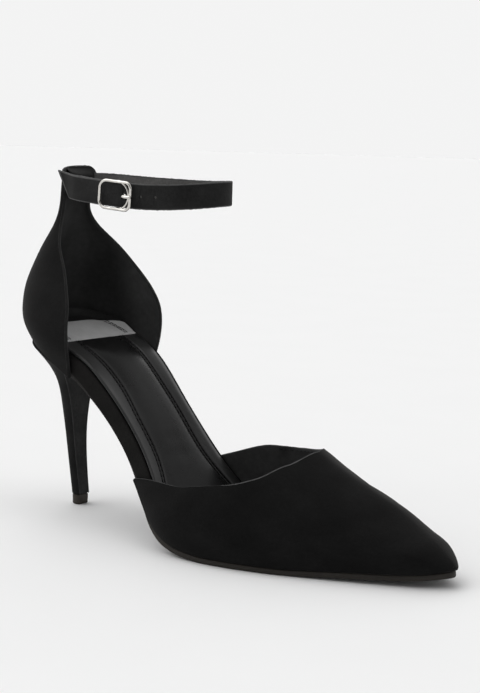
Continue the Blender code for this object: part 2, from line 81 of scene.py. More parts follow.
SOLE = table("along height axis lateral medial board", [
    (0, 81.6, 0.0, 27.2, 27.2, 6.6),
    (20, 77.0, 0.0, 27.3, 27.3, 6.9),
    (36, 71.1, 0.0, 27.4, 27.2, 7.1),
    (46, 66.2, 0.0, 27.6, 26.2, 7.3),
    (56, 58.9, 0.0, 27.6, 24.0, 7.3),
    (67, 48.9, 0.0, 27.4, 21.5, 7.1),
    (79, 36.2, 0.0, 28.0, 20.9, 6.9),
    (91, 22.8, 0.0, 31.0, 22.5, 6.4),
    (104, 10.2, 0.0, 36.4, 26.8, 4.8),
    (117, 3.0, 0.0, 39.4, 31.0, 2.7),
    (129, 0.6, 0.0, 39.8, 34.6, 1.7),
    (142, -0.4, 0.2, 39.0, 36.0, 1.5),
    (156, -0.5, 0.6, 36.4, 34.6, 1.5),
    (170, -0.1, 1.2, 32.4, 30.8, 1.5),
    (186, 0.8, 2.0, 26.4, 25.2, 1.5),
    (202, 1.6, 2.8, 20.0, 19.2, 1.5),
    (218, 2.4, 3.4, 12.8, 12.6, 1.5),
    (231.5, 4.0, 3.6, 6.6, 6.8, 1.5),
])
SOLE_EDGE = table("along edge", [
    (40, -2.2), (90, -2.2), (104, 0.2), (118, 1.5), (140, 1.6), (200, 1.3), (231.5, 0.7),
])
VAMP = table("along ridge crest lateral medial", [
    (89, 62.0, 2.5, 0.9, 1.0),
    (96, 62.4, 3.0, 1.3, 2.8),
    (104, 63.0, 3.5, 1.6, 3.8),
    (117, 61.9, 4.0, 1.7, 2.8),
    (129, 59.3, 4.2, 1.7, 1.9),
    (141, 55.7, 4.2, 1.6, 1.6),
    (154, 50.7, 4.0, 1.5, 1.5),
    (167, 44.5, 3.4, 1.4, 1.4),
    (180, 38.4, 2.8, 1.3, 1.3),
    (194, 31.6, 2.0, 1.2, 1.2),
    (208, 24.9, 1.2, 1.1, 1.1),
    (221, 16.5, 0.5, 1.0, 1.0),
    (231.5, 10.4, 0.0, 1.0, 1.0),
])
TOPLINE = table("along lateral medial", [
    (89, 0.02, 0.07),
    (92, 0.107, 0.212),
    (96, 0.187, 0.372),
    (102, 0.264, 0.477),
    (112, 0.329, 0.507),
    (128, 0.382, 0.522),
    (138, 0.424, 0.56),
    (145, 0.459, 0.60),
    (151, 0.521, 0.655),
    (156, 0.605, 0.73),
    (159.5, 0.70, 0.81),
    (163, 0.825, 0.915),
    (165, 1.0, 1.0),
])
THROAT_ALONG = 165.0
RIDGE_PEAK = 1.6
CREST_POWER = 1.5
GIRTH_LIFT = 8.0
GIRTH_FULL = 14.0
TOE_OVERHANG = 0.5
LEAN_START = 205.0
COUNTER = table("height back front half", [
    (81.6, 8.6, 48.0, 29.4),
    (86.0, 5.2, 49.2, 32.2),
    (92.0, 2.6, 49.7, 33.6),
    (99.0, 1.4, 48.7, 31.9),
    (107.0, 2.2, 45.3, 29.1),
    (116.0, 5.7, 39.7, 24.9),
    (126.0, 11.5, 32.0, 20.0),
    (136.0, 16.4, 25.3, 12.4),
    (144.0, 18.1, 23.7, 9.2),
    (152.0, 18.9, 25.5, 9.5),
    (157.0, 19.5, 27.0, 10.0),
    (162.6, 20.2, 27.8, 10.6),
])
TAB_NEAR = 10.0
TAB_FAR = 5.5
TAB_TOP = 0.12
TAB_SIDE = 40.0
CUP_LEVEL = 18.0
HEEL = table("height back front half wrap", [
    (5.3, 24.6, 31.2, 3.9, 130),
    (11.0, 23.8, 30.4, 4.1, 130),
    (22.0, 22.2, 29.0, 4.5, 128),
    (35.0, 20.4, 28.0, 5.2, 125),
    (47.0, 18.8, 27.8, 6.6, 119),
    (57.0, 17.7, 28.3, 9.2, 110),
    (64.0, 16.3, 30.2, 13.2, 100),
    (70.5, 14.2, 33.8, 19.2, 94),
    (76.0, 12.4, 38.0, 24.8, 91),
    (81.3, 9.6, 40.0, 28.6, 90),
])
HEEL_LEVEL = 14.0
HEEL_TILT = 1.5
HEEL_SQUARE = (60.0, 16.0)
HEEL_POINTS = 57
TIP = table("height less", [(0.0, 0.8), (0.15, 0.5), (0.4, 0.3), (4.4, 0.2), (4.8, 0.3), (5.0, 0.6)])
STRAP_WIDTH = 11.1
STRAP_THICK = 1.4
STRAP = table("along across height", [
    (67.6, -19.2, 151.3),
    (51.4, -17.4, 152.1),
    (37.4, -12.2, 152.8),
    (26.4, -6.5, 153.2),
    (22.5, 0.0, 153.6),
    (26.4, 6.5, 153.9),
    (37.4, 14.2, 153.6),
    (53.2, 23.7, 152.5),
    (71.8, 28.5, 151.9),
    (88.6, 26.8, 152.1),
    (102.0, 18.4, 152.6),
    (106.8, 6.2, 152.5),
    (102.6, -5.8, 151.5),
    (91.0, -16.1, 150.6),
    (79.3, -20.5, 150.6),
    (67.4, -21.7, 151.3),
    (51.6, -20.0, 152.2),
    (38.8, -16.6, 152.9),
    (30.0, -12.6, 153.8),
    (27.2, -11.8, 154.2),
])
TAIL_SLANT = 6.0
TAIL_LENGTH = 12.0
BUCKLE_ALONG = 69.8
FRAME_LONG = 17.1
FRAME_TALL = 12.1
FRAME_CORNER = 3.0
FRAME_WIRE = 1.3
BAR_BEND = 1.0
PIN_WIRE = 1.1
PIN_HOLE = 2.2
PIN_REACH = 3.9

# Details that only the look has, in millimetres
RIM_BULGE = 0.35  # how far a cut leather edge is rounded
RIM_STEPS = (0.15, 0.5, 0.85)  # points across that edge, as shares of the wall
ROUND_CAP = ((1.0, 0.0), (0.75, 0.66), (0.3, 0.95))  # size and reach of a round end, in radii
CORNER_LIMITS = (0.48, 0.9)  # largest corner of a section, as shares of its height and half width
EDGE_BEAD = 0.26  # radius of the fine line along a cut edge
EDGE_START = 138.0  # where that line begins on the vamp's outer side
EDGE_TAPER = 0.35  # share of the line that it grows over at each end
EDGE_LEAST = 0.05
CUP_BEAD = 0.16
END_LEFT = 0.25  # the last section stays this far from a round end
LINING_HEIGHTS = (147.5, 161.9)  # of the lining inside the tab
LINING_FRONT = 27.6  # where the strap comes out from behind it
LINING_THICK = 0.5
LINING_PAD = 5.0  # padding at the back of the tab
LINING_CLOSE = 0.7  # share of its height where it turns back to the tab's upper edge
LINING_OFF = 0.1  # from the tab's wall
WAIST_END = 104.0  # where the sole's painted waist ends
OUTSOLE_CORNER = 0.7
BOARD_CORNER = 0.9
BOARD_SHARES = (0.5, 0.34, 0.26, 0.2, 0.16, 0.12, 0.08, 0.05)  # points across the board's upper face
INSOLE_CORNER = 0.6
TUCK_START = 150.0  # where the footbed narrows to fit into the vamp
TUCK_SPAN = 50.0
FULL_WIDTH = 40.0  # a narrower footbed has its relief scaled down
GROOVE_DEPTH = 0.5
GROOVE_WIDTH = 0.5
GROOVE_PAIR = 1.7  # between the two sewn lines of a pair
GROOVE_FADE = (33.0, 51.0)  # where the relief comes in
GROOVE_RIDGE = 0.05  # rise between the lines of a pair
GROOVE_RIDGE_WIDTH = 0.4
PANEL_RISE = 1.5  # padding of the footbed's middle
PANEL_ROLL = {-1: 3.0, 1: 2.4}  # how flat the padding stays before it rolls down to each side
PANEL_OFF = 0.3  # from the inner sewn line
SEAT_SHADE = (0.012, 0.05)  # metres ahead of the heel tip where the gloss comes in
SEAT_GLOSS = 0.25
CUP_SHADE_SPAN = (-0.004, 0.014)  # where the painted shade at the cup lining's closed back gives way to its paler front, in metres
SEAT_END = 35.0  # the seat behind the patch is lined like the cup, in a dull look that also paints the shade falling there
SEAT_DISH = 3.8  # how far the seat's edges turn up inside the heel cup
DISH_WIDTH = 5.5
DISH_BACK = 1.3  # the dish is narrower at the back by this factor
DISH_FRONT = (24.0, 36.0)
FAR_DROP = 1.2  # how far the medial edge rolls down
FAR_CROWN = 0.9  # padding of the strip beside it
LIP = 2.1  # how far the footbed's lateral edge curls up in the waist
LIP_WIDTH = 9.5
LIP_POWER = 1.4
LIP_COMES = (38.0, 52.0)
LIP_GOES = (108.0, 124.0)
STITCH = 1.9  # length of one stitch
STITCH_PITCH = 2.7
STITCH_START = 0.4
STITCH_ARCH = ((0.0, -0.5), (0.12, 0.3), (0.5, 0.65), (0.88, 0.3), (1.0, -0.5))  # rise in thread radii
THREAD = 0.2  # radius of the thread
SEWN_REACH = (34.0, 150.0)  # of the footbed's sewn lines
SEWN_UP = Vector((0.5, 0.0, 0.85))
PATCH_THICK = 0.45
PATCH_FRONT = 35.5
PATCH_BACK = 19.5  # along the middle line
PATCH_CURVE = 9.5  # how much further forward the patch ends at its sides
PATCH_SQUARE = 6
PATCH_INSET = 0.9
PATCH_LONG = 50.0  # about its length across the seat
PATCH_FOLD = 0.2  # rise of the folded ends
PATCH_FOLD_END = (4.5, 3.7)
PATCH_SUNK = 0.2  # of its border
PATCH_UNDER = -0.1
PATCH_UP = Vector((0.2, 0.0, 0.95))
PATCH_SEAMS = (0.09, 0.12, 0.87, 0.9)
PATCH_SKEW = 0.02
PATCH_THREAD = 0.8 * THREAD
PATCH_STITCH = (1.6, 2.3)  # length and pitch
SEAM_UP = Vector((0.3, 0.0, 0.95))
SEAM_REACH = (0.04, 0.96)
TOE_RIDGE = 209.5  # soft ridge over the end of the toe stiffener, at the sole
TOE_RIDGE_SWEEP = 26.0  # how much further back it lies on top
TOE_RIDGE_HIGH = 0.32
TOE_RIDGE_WIDE = 1.7
TOE_RIDGE_COMES = (0.0, 0.15)  # shares of the way up from the sole
TOE_RIDGE_GOES = (0.97, 0.77)
HOLLOW_DEEP = 0.3  # hollow behind it
HOLLOW_BACK = 7.0
HOLLOW_WIDE = 5.5
FLEX_ALONG = 168.0  # flex fold beside the throat, at the sole
FLEX_SWEEP = 30.0  # how much further back it lies on top
FLEX_WIDE = 9.0
FLEX_DEEP = 0.3
FLEX_SHARE = 0.45
FLEX_LONG = 0.3
FLEX_COMES = (0.15, 0.35)
VAMP_SEAM_DOWN = 1.9  # sewn line below the vamp's top edge
VAMP_SEAM_IN = 1.2  # its first guess, in walls
VAMP_SEAM_STEPS = slice(8, -20)
PUNCH_RUNS = (193.9, 187.1)  # plain holes in the strap, along its run
PUNCH_HOLE = 1.3
STRAP_CORNER = 0.5
STRAP_WAVES = ((0.06, 13.0, 0.0), (0.04, 5.3, 1.0))  # height, length and start of its slight waves
FRAY = 0.07  # loose fibres of its edges
FRAY_SEED = 5
OUTER_START = 0.6  # share of the strap's run before its outer lateral stretch
FRAME_DROP = 0.3  # of the frame from the strap's middle line
FRAME_BARREL = 0.9  # how far its rear end is bowed
RIM_CENTRE = -1.2  # rounded inner rim of the buckle's front end
RIM_LONG = 6.4
RIM_WIRE = 0.8
RIM_TURN = 70.0  # degrees to each side
BAR_CUT = 0.3 * BAR_BEND  # halfway round the bar's bend
PIN_SHOWN = 1.5  # thickness of the pin's flattened free end
PIN_BEND = ((-1.0, -1.0), (-0.25, -0.75), (0.0, 0.0), (0.3, 0.6))  # past its hole, share of frame's lift
PIN_RISE = ((1.2, 0.9), (2.4, 1.0))  # past its hole, share of the free end's lift
PIN_END = 0.9  # past the frame
# Points across the footbed: from its edge, from the first sewn line, and those that lie in a groove
NEAR_STEPS = (0.0, 0.5, 1.2, 2.4, 4.0, 5.4)
NEAR_FULL = 6.0
SEWN_STEPS = (-1.1, -0.7, -0.45, -0.22, 0.0, 0.22, 0.45, 0.65, 0.85,
              1.05, 1.25, 1.48, 1.7, 1.92, 2.15, 2.5, 3.2, 4.2, 5.4)
SUNK_STEPS = (-0.45, -0.22, 0.0, 0.22, 1.25, 1.48, 1.7, 1.92)
MIDDLE_POINTS = 16
UNDER_STEPS = (2.0, 4.0, 6.0, 8.0, 10.0)
# How finely the pieces are divided, and how their rings crowd toward an end
SOLE_RINGS = 150
FOOTBED_RINGS = 300
FOOTBED_CROWD = 0.4
PATCH_GRID = (61, 17)
SEAM_POINTS = 14
SECTION_POINTS = 121
REAR_RIBS = 71
REAR_CROWD = 0.9
FRONT_RIBS = 61
FRONT_CROWD = 1.7
RIB_POINTS = 44
CUP_ROWS = 70
CUP_POINTS = 65
TAB_ROWS = 10
TAB_TURN = 10.0
HEEL_RINGS = 91
HEEL_CROWD = 1.25
BREAST_POINTS = 13
LINING_GRID = (31, 41)
LINING_SEARCH = 2000
STRAP_RINGS = 420
STRAP_STEPS = 4
BUCKLE_SEARCH = 400
FRAME_STEPS = 14
RIM_POINTS = 25
# Distance of the sewn lines from the footbed's edges
GROOVE = table("along lateral medial", [
    (11, 5.0, 5.0),
    (30, 9.0, 9.4),
    (48, 11.0, 11.2),
    (63, 10.4, 9.9),
    (73, 8.2, 9.2),
    (86, 7.8, 10.2),
    (97, 6.6, 9.2),
    (130, 7.6, 8.4),
    (200, 6.0, 6.0),
    (229, 3.0, 3.0),
])
# Shallow rubbed dents of the footbed
DENTS = table("along across long wide deep", [
    (87, -4.0, 2.2, 7.0, 0.32),
    (81.5, -5.0, 1.8, 6.0, 0.22),
    (60, 2.0, 9.0, 7.0, 0.2),
])


def spline(x, y):
    """Natural cubic curve through points."""
    count = len(x)
    step = np.diff(x)
    matrix = np.eye(count)
    right = np.zeros(count)
    for i in range(1, count - 1):
        matrix[i, i - 1:i + 2] = step[i - 1], 2 * (step[i - 1] + step[i]), step[i]
        right[i] = 6 * ((y[i + 1] - y[i]) / step[i] - (y[i] - y[i - 1]) / step[i - 1])
    bend = np.linalg.solve(matrix, right)

    def at(where):
        i = int(np.clip(np.searchsorted(x, where) - 1, 0, count - 2))
        h = step[i]
        a = (x[i + 1] - where) / h
        b = (where - x[i]) / h
        curve = (a ** 3 - a) * bend[i] + (b ** 3 - b) * bend[i + 1]
        return a * y[i] + b * y[i + 1] + curve * h * h / 6

    return at


def curves(data):
    """Curve through each column of a table, over its first column."""
    x, *columns = data.values()
    return [spline(x, y) for y in columns]


def running(steps):
    """Distance from the start before and after each step."""
    return np.concatenate([[0], np.cumsum(steps)])


def place(along, across, up):
    """World position of a point given in millimetres."""
    return Vector(((along - TIP_ALONG) * MM, across * MM, up * MM))


def clamp(value):
    """Value held between 0 and 1."""
    return min(max(value, 0.0), 1.0)


def ramp(value, limits):
    """Smooth step from 0 to 1 between two limits."""
    start, stop = limits
    t = clamp((value - start) / (stop - start))
    return t * t * (3 - 2 * t)


def hump(distance, width):
    """Soft hill of height 1."""
    return math.exp(-(distance / width) ** 2)


def round_end(distance, length, power=2.0):
    """Width factor of a rounded end, from 0 at the end to 1 at its full length."""
    inside = 1.0 - clamp(distance / length)
    return (1.0 - inside ** power) ** (1.0 / power)


def signed_power(value, power):
    """Power of a value's size, with the value's sign."""
    return math.copysign(abs(value) ** power, value)


sole_height, sole_axis, *board_halves, board_thick = curves(SOLE)
board_half = dict(zip(SIDES, board_halves))
sole_edge, = curves(SOLE_EDGE)
vamp_ridge, vamp_crest, *vamp_bulges = curves(VAMP)
vamp_bulge = dict(zip(SIDES, vamp_bulges))
topline = dict(zip(SIDES, curves(TOPLINE)))
groove_line = dict(zip(SIDES, curves(GROOVE)))
counter_back, counter_front, counter_half = curves(COUNTER)
heel_columns = curves(HEEL)


def underside(along):
    """Height of the sole's underside; the tread is flat on the floor."""
    return max(0.0, sole_height(along))


def on_sole(along, across, lift):
    """World position above a station of the sole line, measured square to it."""
    slope = (underside(along + SLOPE_SPAN) - underside(along - SLOPE_SPAN)) / (2 * SLOPE_SPAN)
    length = math.hypot(1.0, slope)
    forward = along - slope / length * lift
    return place(forward, across, underside(along) + lift / length)


def stations(start, stop, count, share=0.7):
    """Station list that is closer at both ends."""
    t = np.linspace(0, 1, count + 1)
    eased = 0.5 - 0.5 * np.cos(np.pi * t)
    return start + (stop - start) * (share * eased + (1 - share) * t)


def board_edges(along, grow, toe, back=None):
    """Lateral and medial edge of the board's outline, grown outward by some millimetres."""
    seat = round_end(along - back, SEAT_FRONT - back, SEAT_SQUARE) if back else 1.0
    shape = seat * round_end(toe - along, TOE_ROUND)
    return [sole_axis(along) + side * (board_half[side](along) + grow) * shape for side in SIDES]


def board_top(along):
    """Lift of the insole board's upper face."""
    return OUTSOLE_THICK + GAP + board_thick(along)


# Meshes

def show(name, data):
    """Object in the scene."""
    made = bpy.data.objects.new(name, data)
    bpy.context.scene.collection.objects.link(made)
    return made


def add_piece(name, solid, looks, sharp):
    """Object of a bmesh with its looks, smooth apart from sharp corners."""
    mesh = bpy.data.meshes.new(name)
    solid.to_mesh(mesh)
    solid.free()
    for look in looks:
        mesh.materials.append(look.material)
    mesh.shade_smooth()
    mesh.set_sharp_from_angle(angle=math.radians(sharp))
    return show(name, mesh)


def ride(piece, slot, *nodes):
    """The piece goes with the shoe and stands for some solids, which it hides; slot is not used."""
    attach(piece, "root")
    if nodes:
        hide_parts(*nodes)
    return piece


def bridge(solid, rows, around=True, choose=None):
    """Faces between neighbouring rows of points; around closes each row to a ring.

    choose gives the look of the face after row i and point j.
    """
    for i, (low, high) in enumerate(zip(rows, rows[1:])):
        for j in range(len(low) if around else len(low) - 1):
            k = (j + 1) % len(low)
            face = solid.faces.new((low[j], low[k], high[k], high[j]))
            face.material_index = choose(i, j) if choose else 0


def add_rings(solid, rings, closed=False, choose=None):
    """Skin through rings of points, capped at its ends unless it closes on itself."""
    rows = [[solid.verts.new(point) for point in ring] for ring in rings]
    bridge(solid, rows + rows[:1] if closed else rows, True, choose)
    if not closed:
        solid.faces.new(rows[0])
        solid.faces.new(rows[-1])


def thick_shell(name, strips, wall, looks):
    """Open surface of point strips, thickened inward, with a rounded cut edge.

    The looks are those of the outside, the edge and the lining.
    """
    skin = bmesh.new()
    for strip in strips:
        bridge(skin, [[skin.verts.new(point) for point in row] for row in strip], False)
    bmesh.ops.remove_doubles(skin, verts=skin.verts, dist=MERGE)
    bmesh.ops.dissolve_degenerate(skin, edges=skin.edges, dist=SLIVER)
    skin.normal_update()
    outer = list(skin.faces)
    border = [edge for edge in skin.edges if edge.is_boundary]
    outward = {}
    for edge in border:
        loop = edge.link_loops[0]
        step = loop.link_loop_next.vert.co - loop.vert.co
        aside = step.cross(loop.face.normal).normalized()
        for vert in edge.verts:
            outward[vert] = outward.get(vert, Vector()) + aside
    inner = {vert: skin.verts.new(vert.co - vert.normal * wall * MM) for vert in list(skin.verts)}
    ladder = {}
    for vert, aside in outward.items():
        steps = [vert]
        for t in RIM_STEPS:
            push = aside.normalized() * (RIM_BULGE * MM * math.sin(math.pi * t))
            steps.append(skin.verts.new(vert.co.lerp(inner[vert].co, t) + push))
        ladder[vert] = steps + [inner[vert]]
    for face in outer:
        lining = skin.faces.new([inner[vert] for vert in reversed(face.verts)])
        lining.material_index = 2
    for edge in border:
        loop = edge.link_loops[0]
        first = ladder[loop.vert]
        last = ladder[loop.link_loop_next.vert]
        for k in range(len(first) - 1):
            rim = skin.faces.new((last[k], first[k], first[k + 1], last[k + 1]))
            rim.material_index = 1
    return add_piece(name, skin, looks, sharp=50.0)


def loft(name, rings, looks, choose=None, sharp=40.0):
    """Closed solid through rings."""
    solid = bmesh.new()
    add_rings(solid, rings, False, choose)
    bmesh.ops.remove_doubles(solid, verts=solid.verts, dist=SLIVER)
    bmesh.ops.recalc_face_normals(solid, faces=solid.faces)
    return add_piece(name, solid, looks, sharp)


def rounded_section(left, right, low, high, corner, steps=5):
    """Ring of a flat section as (across, lift) with rounded corners."""
    ring = []
    middle = (left + right) / 2
    half = (right - left) / 2
    corner = min(corner, CORNER_LIMITS[0] * (high - low), CORNER_LIMITS[1] * half)
    for side, level, start in ((1, low, -90), (1, high, 0), (-1, high, 90), (-1, low, 180)):
        inward = 1 if level == low else -1
        centre = (middle + side * (half - corner), level + inward * corner)
        for angle in np.radians(np.linspace(start, start + 90, steps)):
            ring.append((centre[0] + corner * math.cos(angle), centre[1] + corner * math.sin(angle)))
    return ring


def tube_rings(points, radius, sides, closed=False):
    """Rings round a path, turned along it without twist; open ends are rounded."""
    points = [Vector(point) for point in points]
    count = len(points)
    rings = []
    normal = None
    for i, point in enumerate(points):
        if closed:
            heading = points[(i + 1) % count] - points[i - 1]
        else:
            heading = points[min(i + 1, count - 1)] - points[max(i - 1, 0)]
        heading.normalize()
        if normal is None:
            normal = heading.orthogonal()
        normal = (normal - heading * normal.dot(heading)).normalized()
        side = heading.cross(normal)
        turns = np.linspace(0, 2 * math.pi, sides, endpoint=False)
        ring = [(normal * math.cos(a) + side * math.sin(a)) * radius for a in turns]
        cap = ROUND_CAP[:1]
        if not closed and i == 0:
            cap = [(size, -ahead) for size, ahead in reversed(ROUND_CAP)]
        if not closed and i == count - 1:
            cap = ROUND_CAP
        for size, ahead in cap:
            rings.append([point + spoke * size + heading * (ahead * radius) for spoke in ring])
    return rings


def tubes(name, paths, radius, looks, sides=12, closed=False):
    """One piece of round tubes along paths."""
    solid = bmesh.new()
    for path in paths:
        add_rings(solid, tube_rings(path, radius * MM, sides, closed), closed)
    bmesh.ops.recalc_face_normals(solid, faces=solid.faces)
    return add_piece(name, solid, looks, sharp=70.0)


def tapered_tube(name, path, radius, looks, sides=8):
    """Round line that grows from nothing at both ends of a path."""
    count = len(path)
    rings = []
    for i, ring in enumerate(tube_rings(path, radius * MM, sides, True)):
        size = round_end(min(i, count - 1 - i) / count, EDGE_TAPER)
        rings.append([path[i].lerp(point, max(size, EDGE_LEAST)) for point in ring])
    return loft(name, rings, looks, sharp=70.0)


def stitch_paths(points, normals, length=STITCH, pitch=STITCH_PITCH):
    """Short arched paths of a sewn line along points on a surface."""
    run = running([(b - a).length for a, b in zip(points, points[1:])]) / MM

    def between(vectors, at):
        return Vector([np.interp(at, run, column) for column in zip(*vectors)])

    paths = []
    for start in np.arange(STITCH_START, run[-1] - length, pitch):
        path = []
        for t, lift in STITCH_ARCH:
            at = start + length * t
            up = between(normals, at).normalized()
            path.append(between(points, at) + up * (lift * THREAD * MM))
        paths.append(path)
    return paths


def surface_points(piece, points):
    """Nearest points and normals on a piece's faces."""
    solid = bmesh.new()
    solid.from_mesh(piece.data)
    tree = BVHTree.FromBMesh(solid)
    found = [tree.find_nearest(point)[:2] for point in points]
    solid.free()
    return zip(*found)


# Looks

NOISE_RANGE = (0.3, 0.7)  # a noise mostly stays between these
TONE_STOPS = (0.3, 0.5, 0.72)


def add_node(tree, kind, inputs=(), **settings):
    """Shader node with its settings, and inputs that are set to a value or linked to a socket."""
    made = tree.nodes.new("ShaderNode" + kind)
    for key, value in settings.items():
        setattr(made, key, value)
    for socket, value in dict(inputs).items():
        if isinstance(value, bpy.types.NodeSocket):
            tree.links.new(value, made.inputs[socket])
        else:
            made.inputs[socket].default_value = value
    return made


def ranged(tree, value, limits, results, kind="SMOOTHSTEP"):
    """Value carried over from one range to another."""
    sockets = ("Value", "From Min", "From Max", "To Min", "To Max")
    inputs = zip(sockets, (value, *limits, *results))
    return add_node(tree, "MapRange", inputs, interpolation_type=kind).outputs["Result"]


class Look:
    """Principled material whose colour, roughness and bump come from textures in the shoe's frame."""

    def __init__(self, name, **sockets):
        self.material = bpy.data.materials.new(name)
        self.material.use_nodes = True
        self.tree = self.material.node_tree
        self.shader = self.tree.nodes["Principled BSDF"].inputs
        self.where = self.node("TexCoord").outputs["Object"]
        self.height = None
        for socket, value in sockets.items():
            self.shader[socket.replace("_", " ")].default_value = value

    def node(self, kind, inputs=(), **settings):
        return add_node(self.tree, kind, inputs, **settings)

    def feed(self, socket, source):
        """The shader's socket takes its value from a source."""
        self.tree.links.new(source, self.shader[socket])

    def noise(self, scale, detail=3.0, stretch=(1, 1, 1)):
        """Noise with a feature size of about 1/scale metres."""
        mapping = self.node("Mapping", {"Scale": stretch, "Vector": self.where})
        inputs = {"Scale": scale, "Detail": detail, "Vector": mapping.outputs["Vector"]}
        return self.node("TexNoise", inputs).outputs["Fac"]

    def cells(self, scale):
        """Distance to the nearest cell centre, for grain."""
        return self.node("TexVoronoi", {"Scale": scale, "Vector": self.where}).outputs["Distance"]

    def waves(self, scale, axis, distortion):
        """Fine parallel ribs."""
        inputs = {"Scale": scale, "Distortion": distortion, "Vector": self.where}
        return self.node("TexWave", inputs, bands_direction=axis).outputs["Fac"]

    def along_shoe(self, places, values):
        """Value that changes smoothly from one place along the shoe to another."""
        spot = self.node("SeparateXYZ", {0: self.where})
        return ranged(self.tree, spot.outputs["X"], places, values)

    def mix(self, first, second, share):
        """Weighted sum of two values."""
        scaled = self.node("Math", {0: second, 1: share}, operation="MULTIPLY")
        inputs = {0: first, 1: 1.0 - share, 2: scaled.outputs[0]}
        return self.node("Math", inputs, operation="MULTIPLY_ADD").outputs[0]

    def colour(self, value, stops):
        """Base colour from a value through (position, colour) stops."""
        ramp_node = self.node("ValToRGB", {"Fac": value})
        elements = ramp_node.color_ramp.elements
        while len(elements) < len(stops):
            elements.new(0.5)
        for element, (position, colour) in zip(elements, stops):
            element.position = position
            element.color = (*colour, 1.0)
        self.feed("Base Color", ramp_node.outputs["Color"])

    def roughness(self, value, low, high):
        """Roughness between two limits from a value around its middle."""
        self.feed("Roughness", ranged(self.tree, value, NOISE_RANGE, (low, high), "LINEAR"))

    def bump(self, value, strength, distance):
        """Bump of some metres, on top of any bump that is already there."""
        inputs = {"Strength": strength, "Distance": distance, "Height": value}
        if self.height:
            inputs["Normal"] = self.height
        self.height = self.node("Bump", inputs).outputs["Normal"]
        self.feed("Normal", self.height)


def grey(level, warm=0.0):
    """Grey of a level, a little warmer or cooler."""
    return level * (1 + warm), level, level * (1 - warm)


def spread(level, low, high, warm=0.0):
    """Three colour stops round a level, for a tone that swings between two factors of it."""
    return [(stop, grey(level * factor, warm)) for stop, factor in zip(TONE_STOPS, (low, 1.0, high))]


def suede(name, level, warm=0.0, sheen=0.06):
    """Brushed nap: clumps, fine fibres and soft patches that lie another way."""
    made = Look(name, Sheen_Weight=sheen, Sheen_Roughness=0.4, Specular_IOR_Level=0.05,
                Sheen_Tint=(0.75, 0.73, 0.72, 1.0))
    patches = made.noise(45, 3.0, (1.0, 1.0, 1.6))
    fibres = made.noise(2600, 4.0, (1.0, 1.0, 0.45))
    clumps = made.noise(700, 3.0)
    nap = made.mix(fibres, clumps, 0.45)
    tone = made.mix(patches, nap, 0.5)
    made.colour(tone, spread(level, 0.55, 1.7, warm))
    made.roughness(nap, 0.85, 1.0)
    made.bump(clumps, 0.35, 0.00018)
    made.bump(fibres, 0.5, 0.00012)
    return made


def leather(name, level, rough, specular, warm=0.0):
    """Smooth finished leather with fine pores, faint rubs and an even gloss."""
    made = Look(name, Specular_IOR_Level=specular)
    pores = made.cells(2300)
    wrinkles = made.noise(420, 5.0, (1.0, 0.7, 1.0))
    rubs = made.noise(70, 4.0, (0.5, 1.6, 0.5))
    tone = made.mix(rubs, wrinkles, 0.35)
    made.colour(tone, spread(level, 0.7, 1.45, warm))
    made.roughness(tone, rough - 0.08, rough + 0.1)
    made.bump(wrinkles, 0.12, 0.0002)
    made.bump(pores, 0.16, 0.00008)
    return made


def footbed(name, level, rough, specular):
    """Leather that loses its gloss toward the shaded heel seat."""
    made = leather(name, level, rough, specular)
    made.feed("Specular IOR Level", made.along_shoe(SEAT_SHADE, (SEAT_GLOSS * specular, specular)))
    return made


def shaded_cup_lining(name, level, back, rough, specular):
    """Leather lining with painted shade: darker toward the closed back of the cup, paler toward its open
    front.
    """
    made = leather(name, level, rough, specular)
    colour = made.shader["Base Color"].links[0].from_socket
    # painted shade: the lining's colour is scaled down toward the back of the cup
    inputs = {0: colour, "Scale": made.along_shoe(CUP_SHADE_SPAN, (back, 1.0))}
    made.feed("Base Color", made.node("VectorMath", inputs, operation="SCALE").outputs[0])
    return made


def raw_edge(name, level):
    """Cut edge of leather with loose fibres."""
    made = Look(name, Sheen_Weight=0.1, Sheen_Roughness=0.5, Specular_IOR_Level=0.1)
    fibres = made.noise(3000, 4.0)
    lengths = made.noise(160, 3.0)
    tone = made.mix(fibres, lengths, 0.5)
    made.colour(tone, spread(level, 0.35, 1.5))
    made.roughness(fibres, 0.8, 1.0)
    made.bump(fibres, 0.5, 0.0001)
    return made


def rubber(name, level, warm, rough):
    """Moulded sole unit with a fine pebble and scuffs."""
    made = Look(name, Specular_IOR_Level=0.2)
    pebble = made.cells(1500)
    scuffs = made.noise(150, 5.0, (0.4, 1.4, 1.0))
    tone = made.mix(scuffs, made.noise(900, 3.0), 0.4)
    made.colour(tone, spread(level, 0.75, 1.35, warm))
    made.roughness(tone, rough - 0.08, rough + 0.12)
    made.bump(pebble, 0.14, 0.0001)
    return made


def thread(name, level):
    """Twisted sewing thread."""
    made = Look(name, Sheen_Weight=0.15, Specular_IOR_Level=0.25)
    twist = made.noise(2500, 3.0)
    made.colour(twist, [(0.35, grey(level * 0.6)), (0.65, grey(level * 1.4))])
    made.roughness(twist, 0.6, 0.85)
    made.bump(twist, 0.3, 0.0001)
    return made


def woven(name, level):
    """Close satin weave of a sewn-in patch."""
    made = Look(name, Sheen_Weight=0.2, Specular_IOR_Level=0.3)
    weave = made.mix(made.waves(900, "Y", 0.6), made.waves(700, "X", 0.6), 0.5)
    tone = made.mix(made.noise(120, 4.0), weave, 0.45)
    made.colour(tone, spread(level, 0.8, 1.15))
    made.roughness(tone, 0.5, 0.7)
    made.bump(weave, 0.3, 0.0001)
    return made


def polished(name):
    """Plated wire with a faint haze and tiny scratches."""
    made = Look(name, Metallic=1.0)
    haze = made.noise(260, 4.0)
    scratches = made.noise(1800, 2.0, (0.25, 1.0, 2.0))
    made.colour(haze, [(0.3, (0.52, 0.50, 0.47)), (0.7, (0.76, 0.74, 0.70))])
    made.roughness(made.mix(haze, scratches, 0.5), 0.08, 0.2)
    made.bump(scratches, 0.04, 0.00004)
    return made


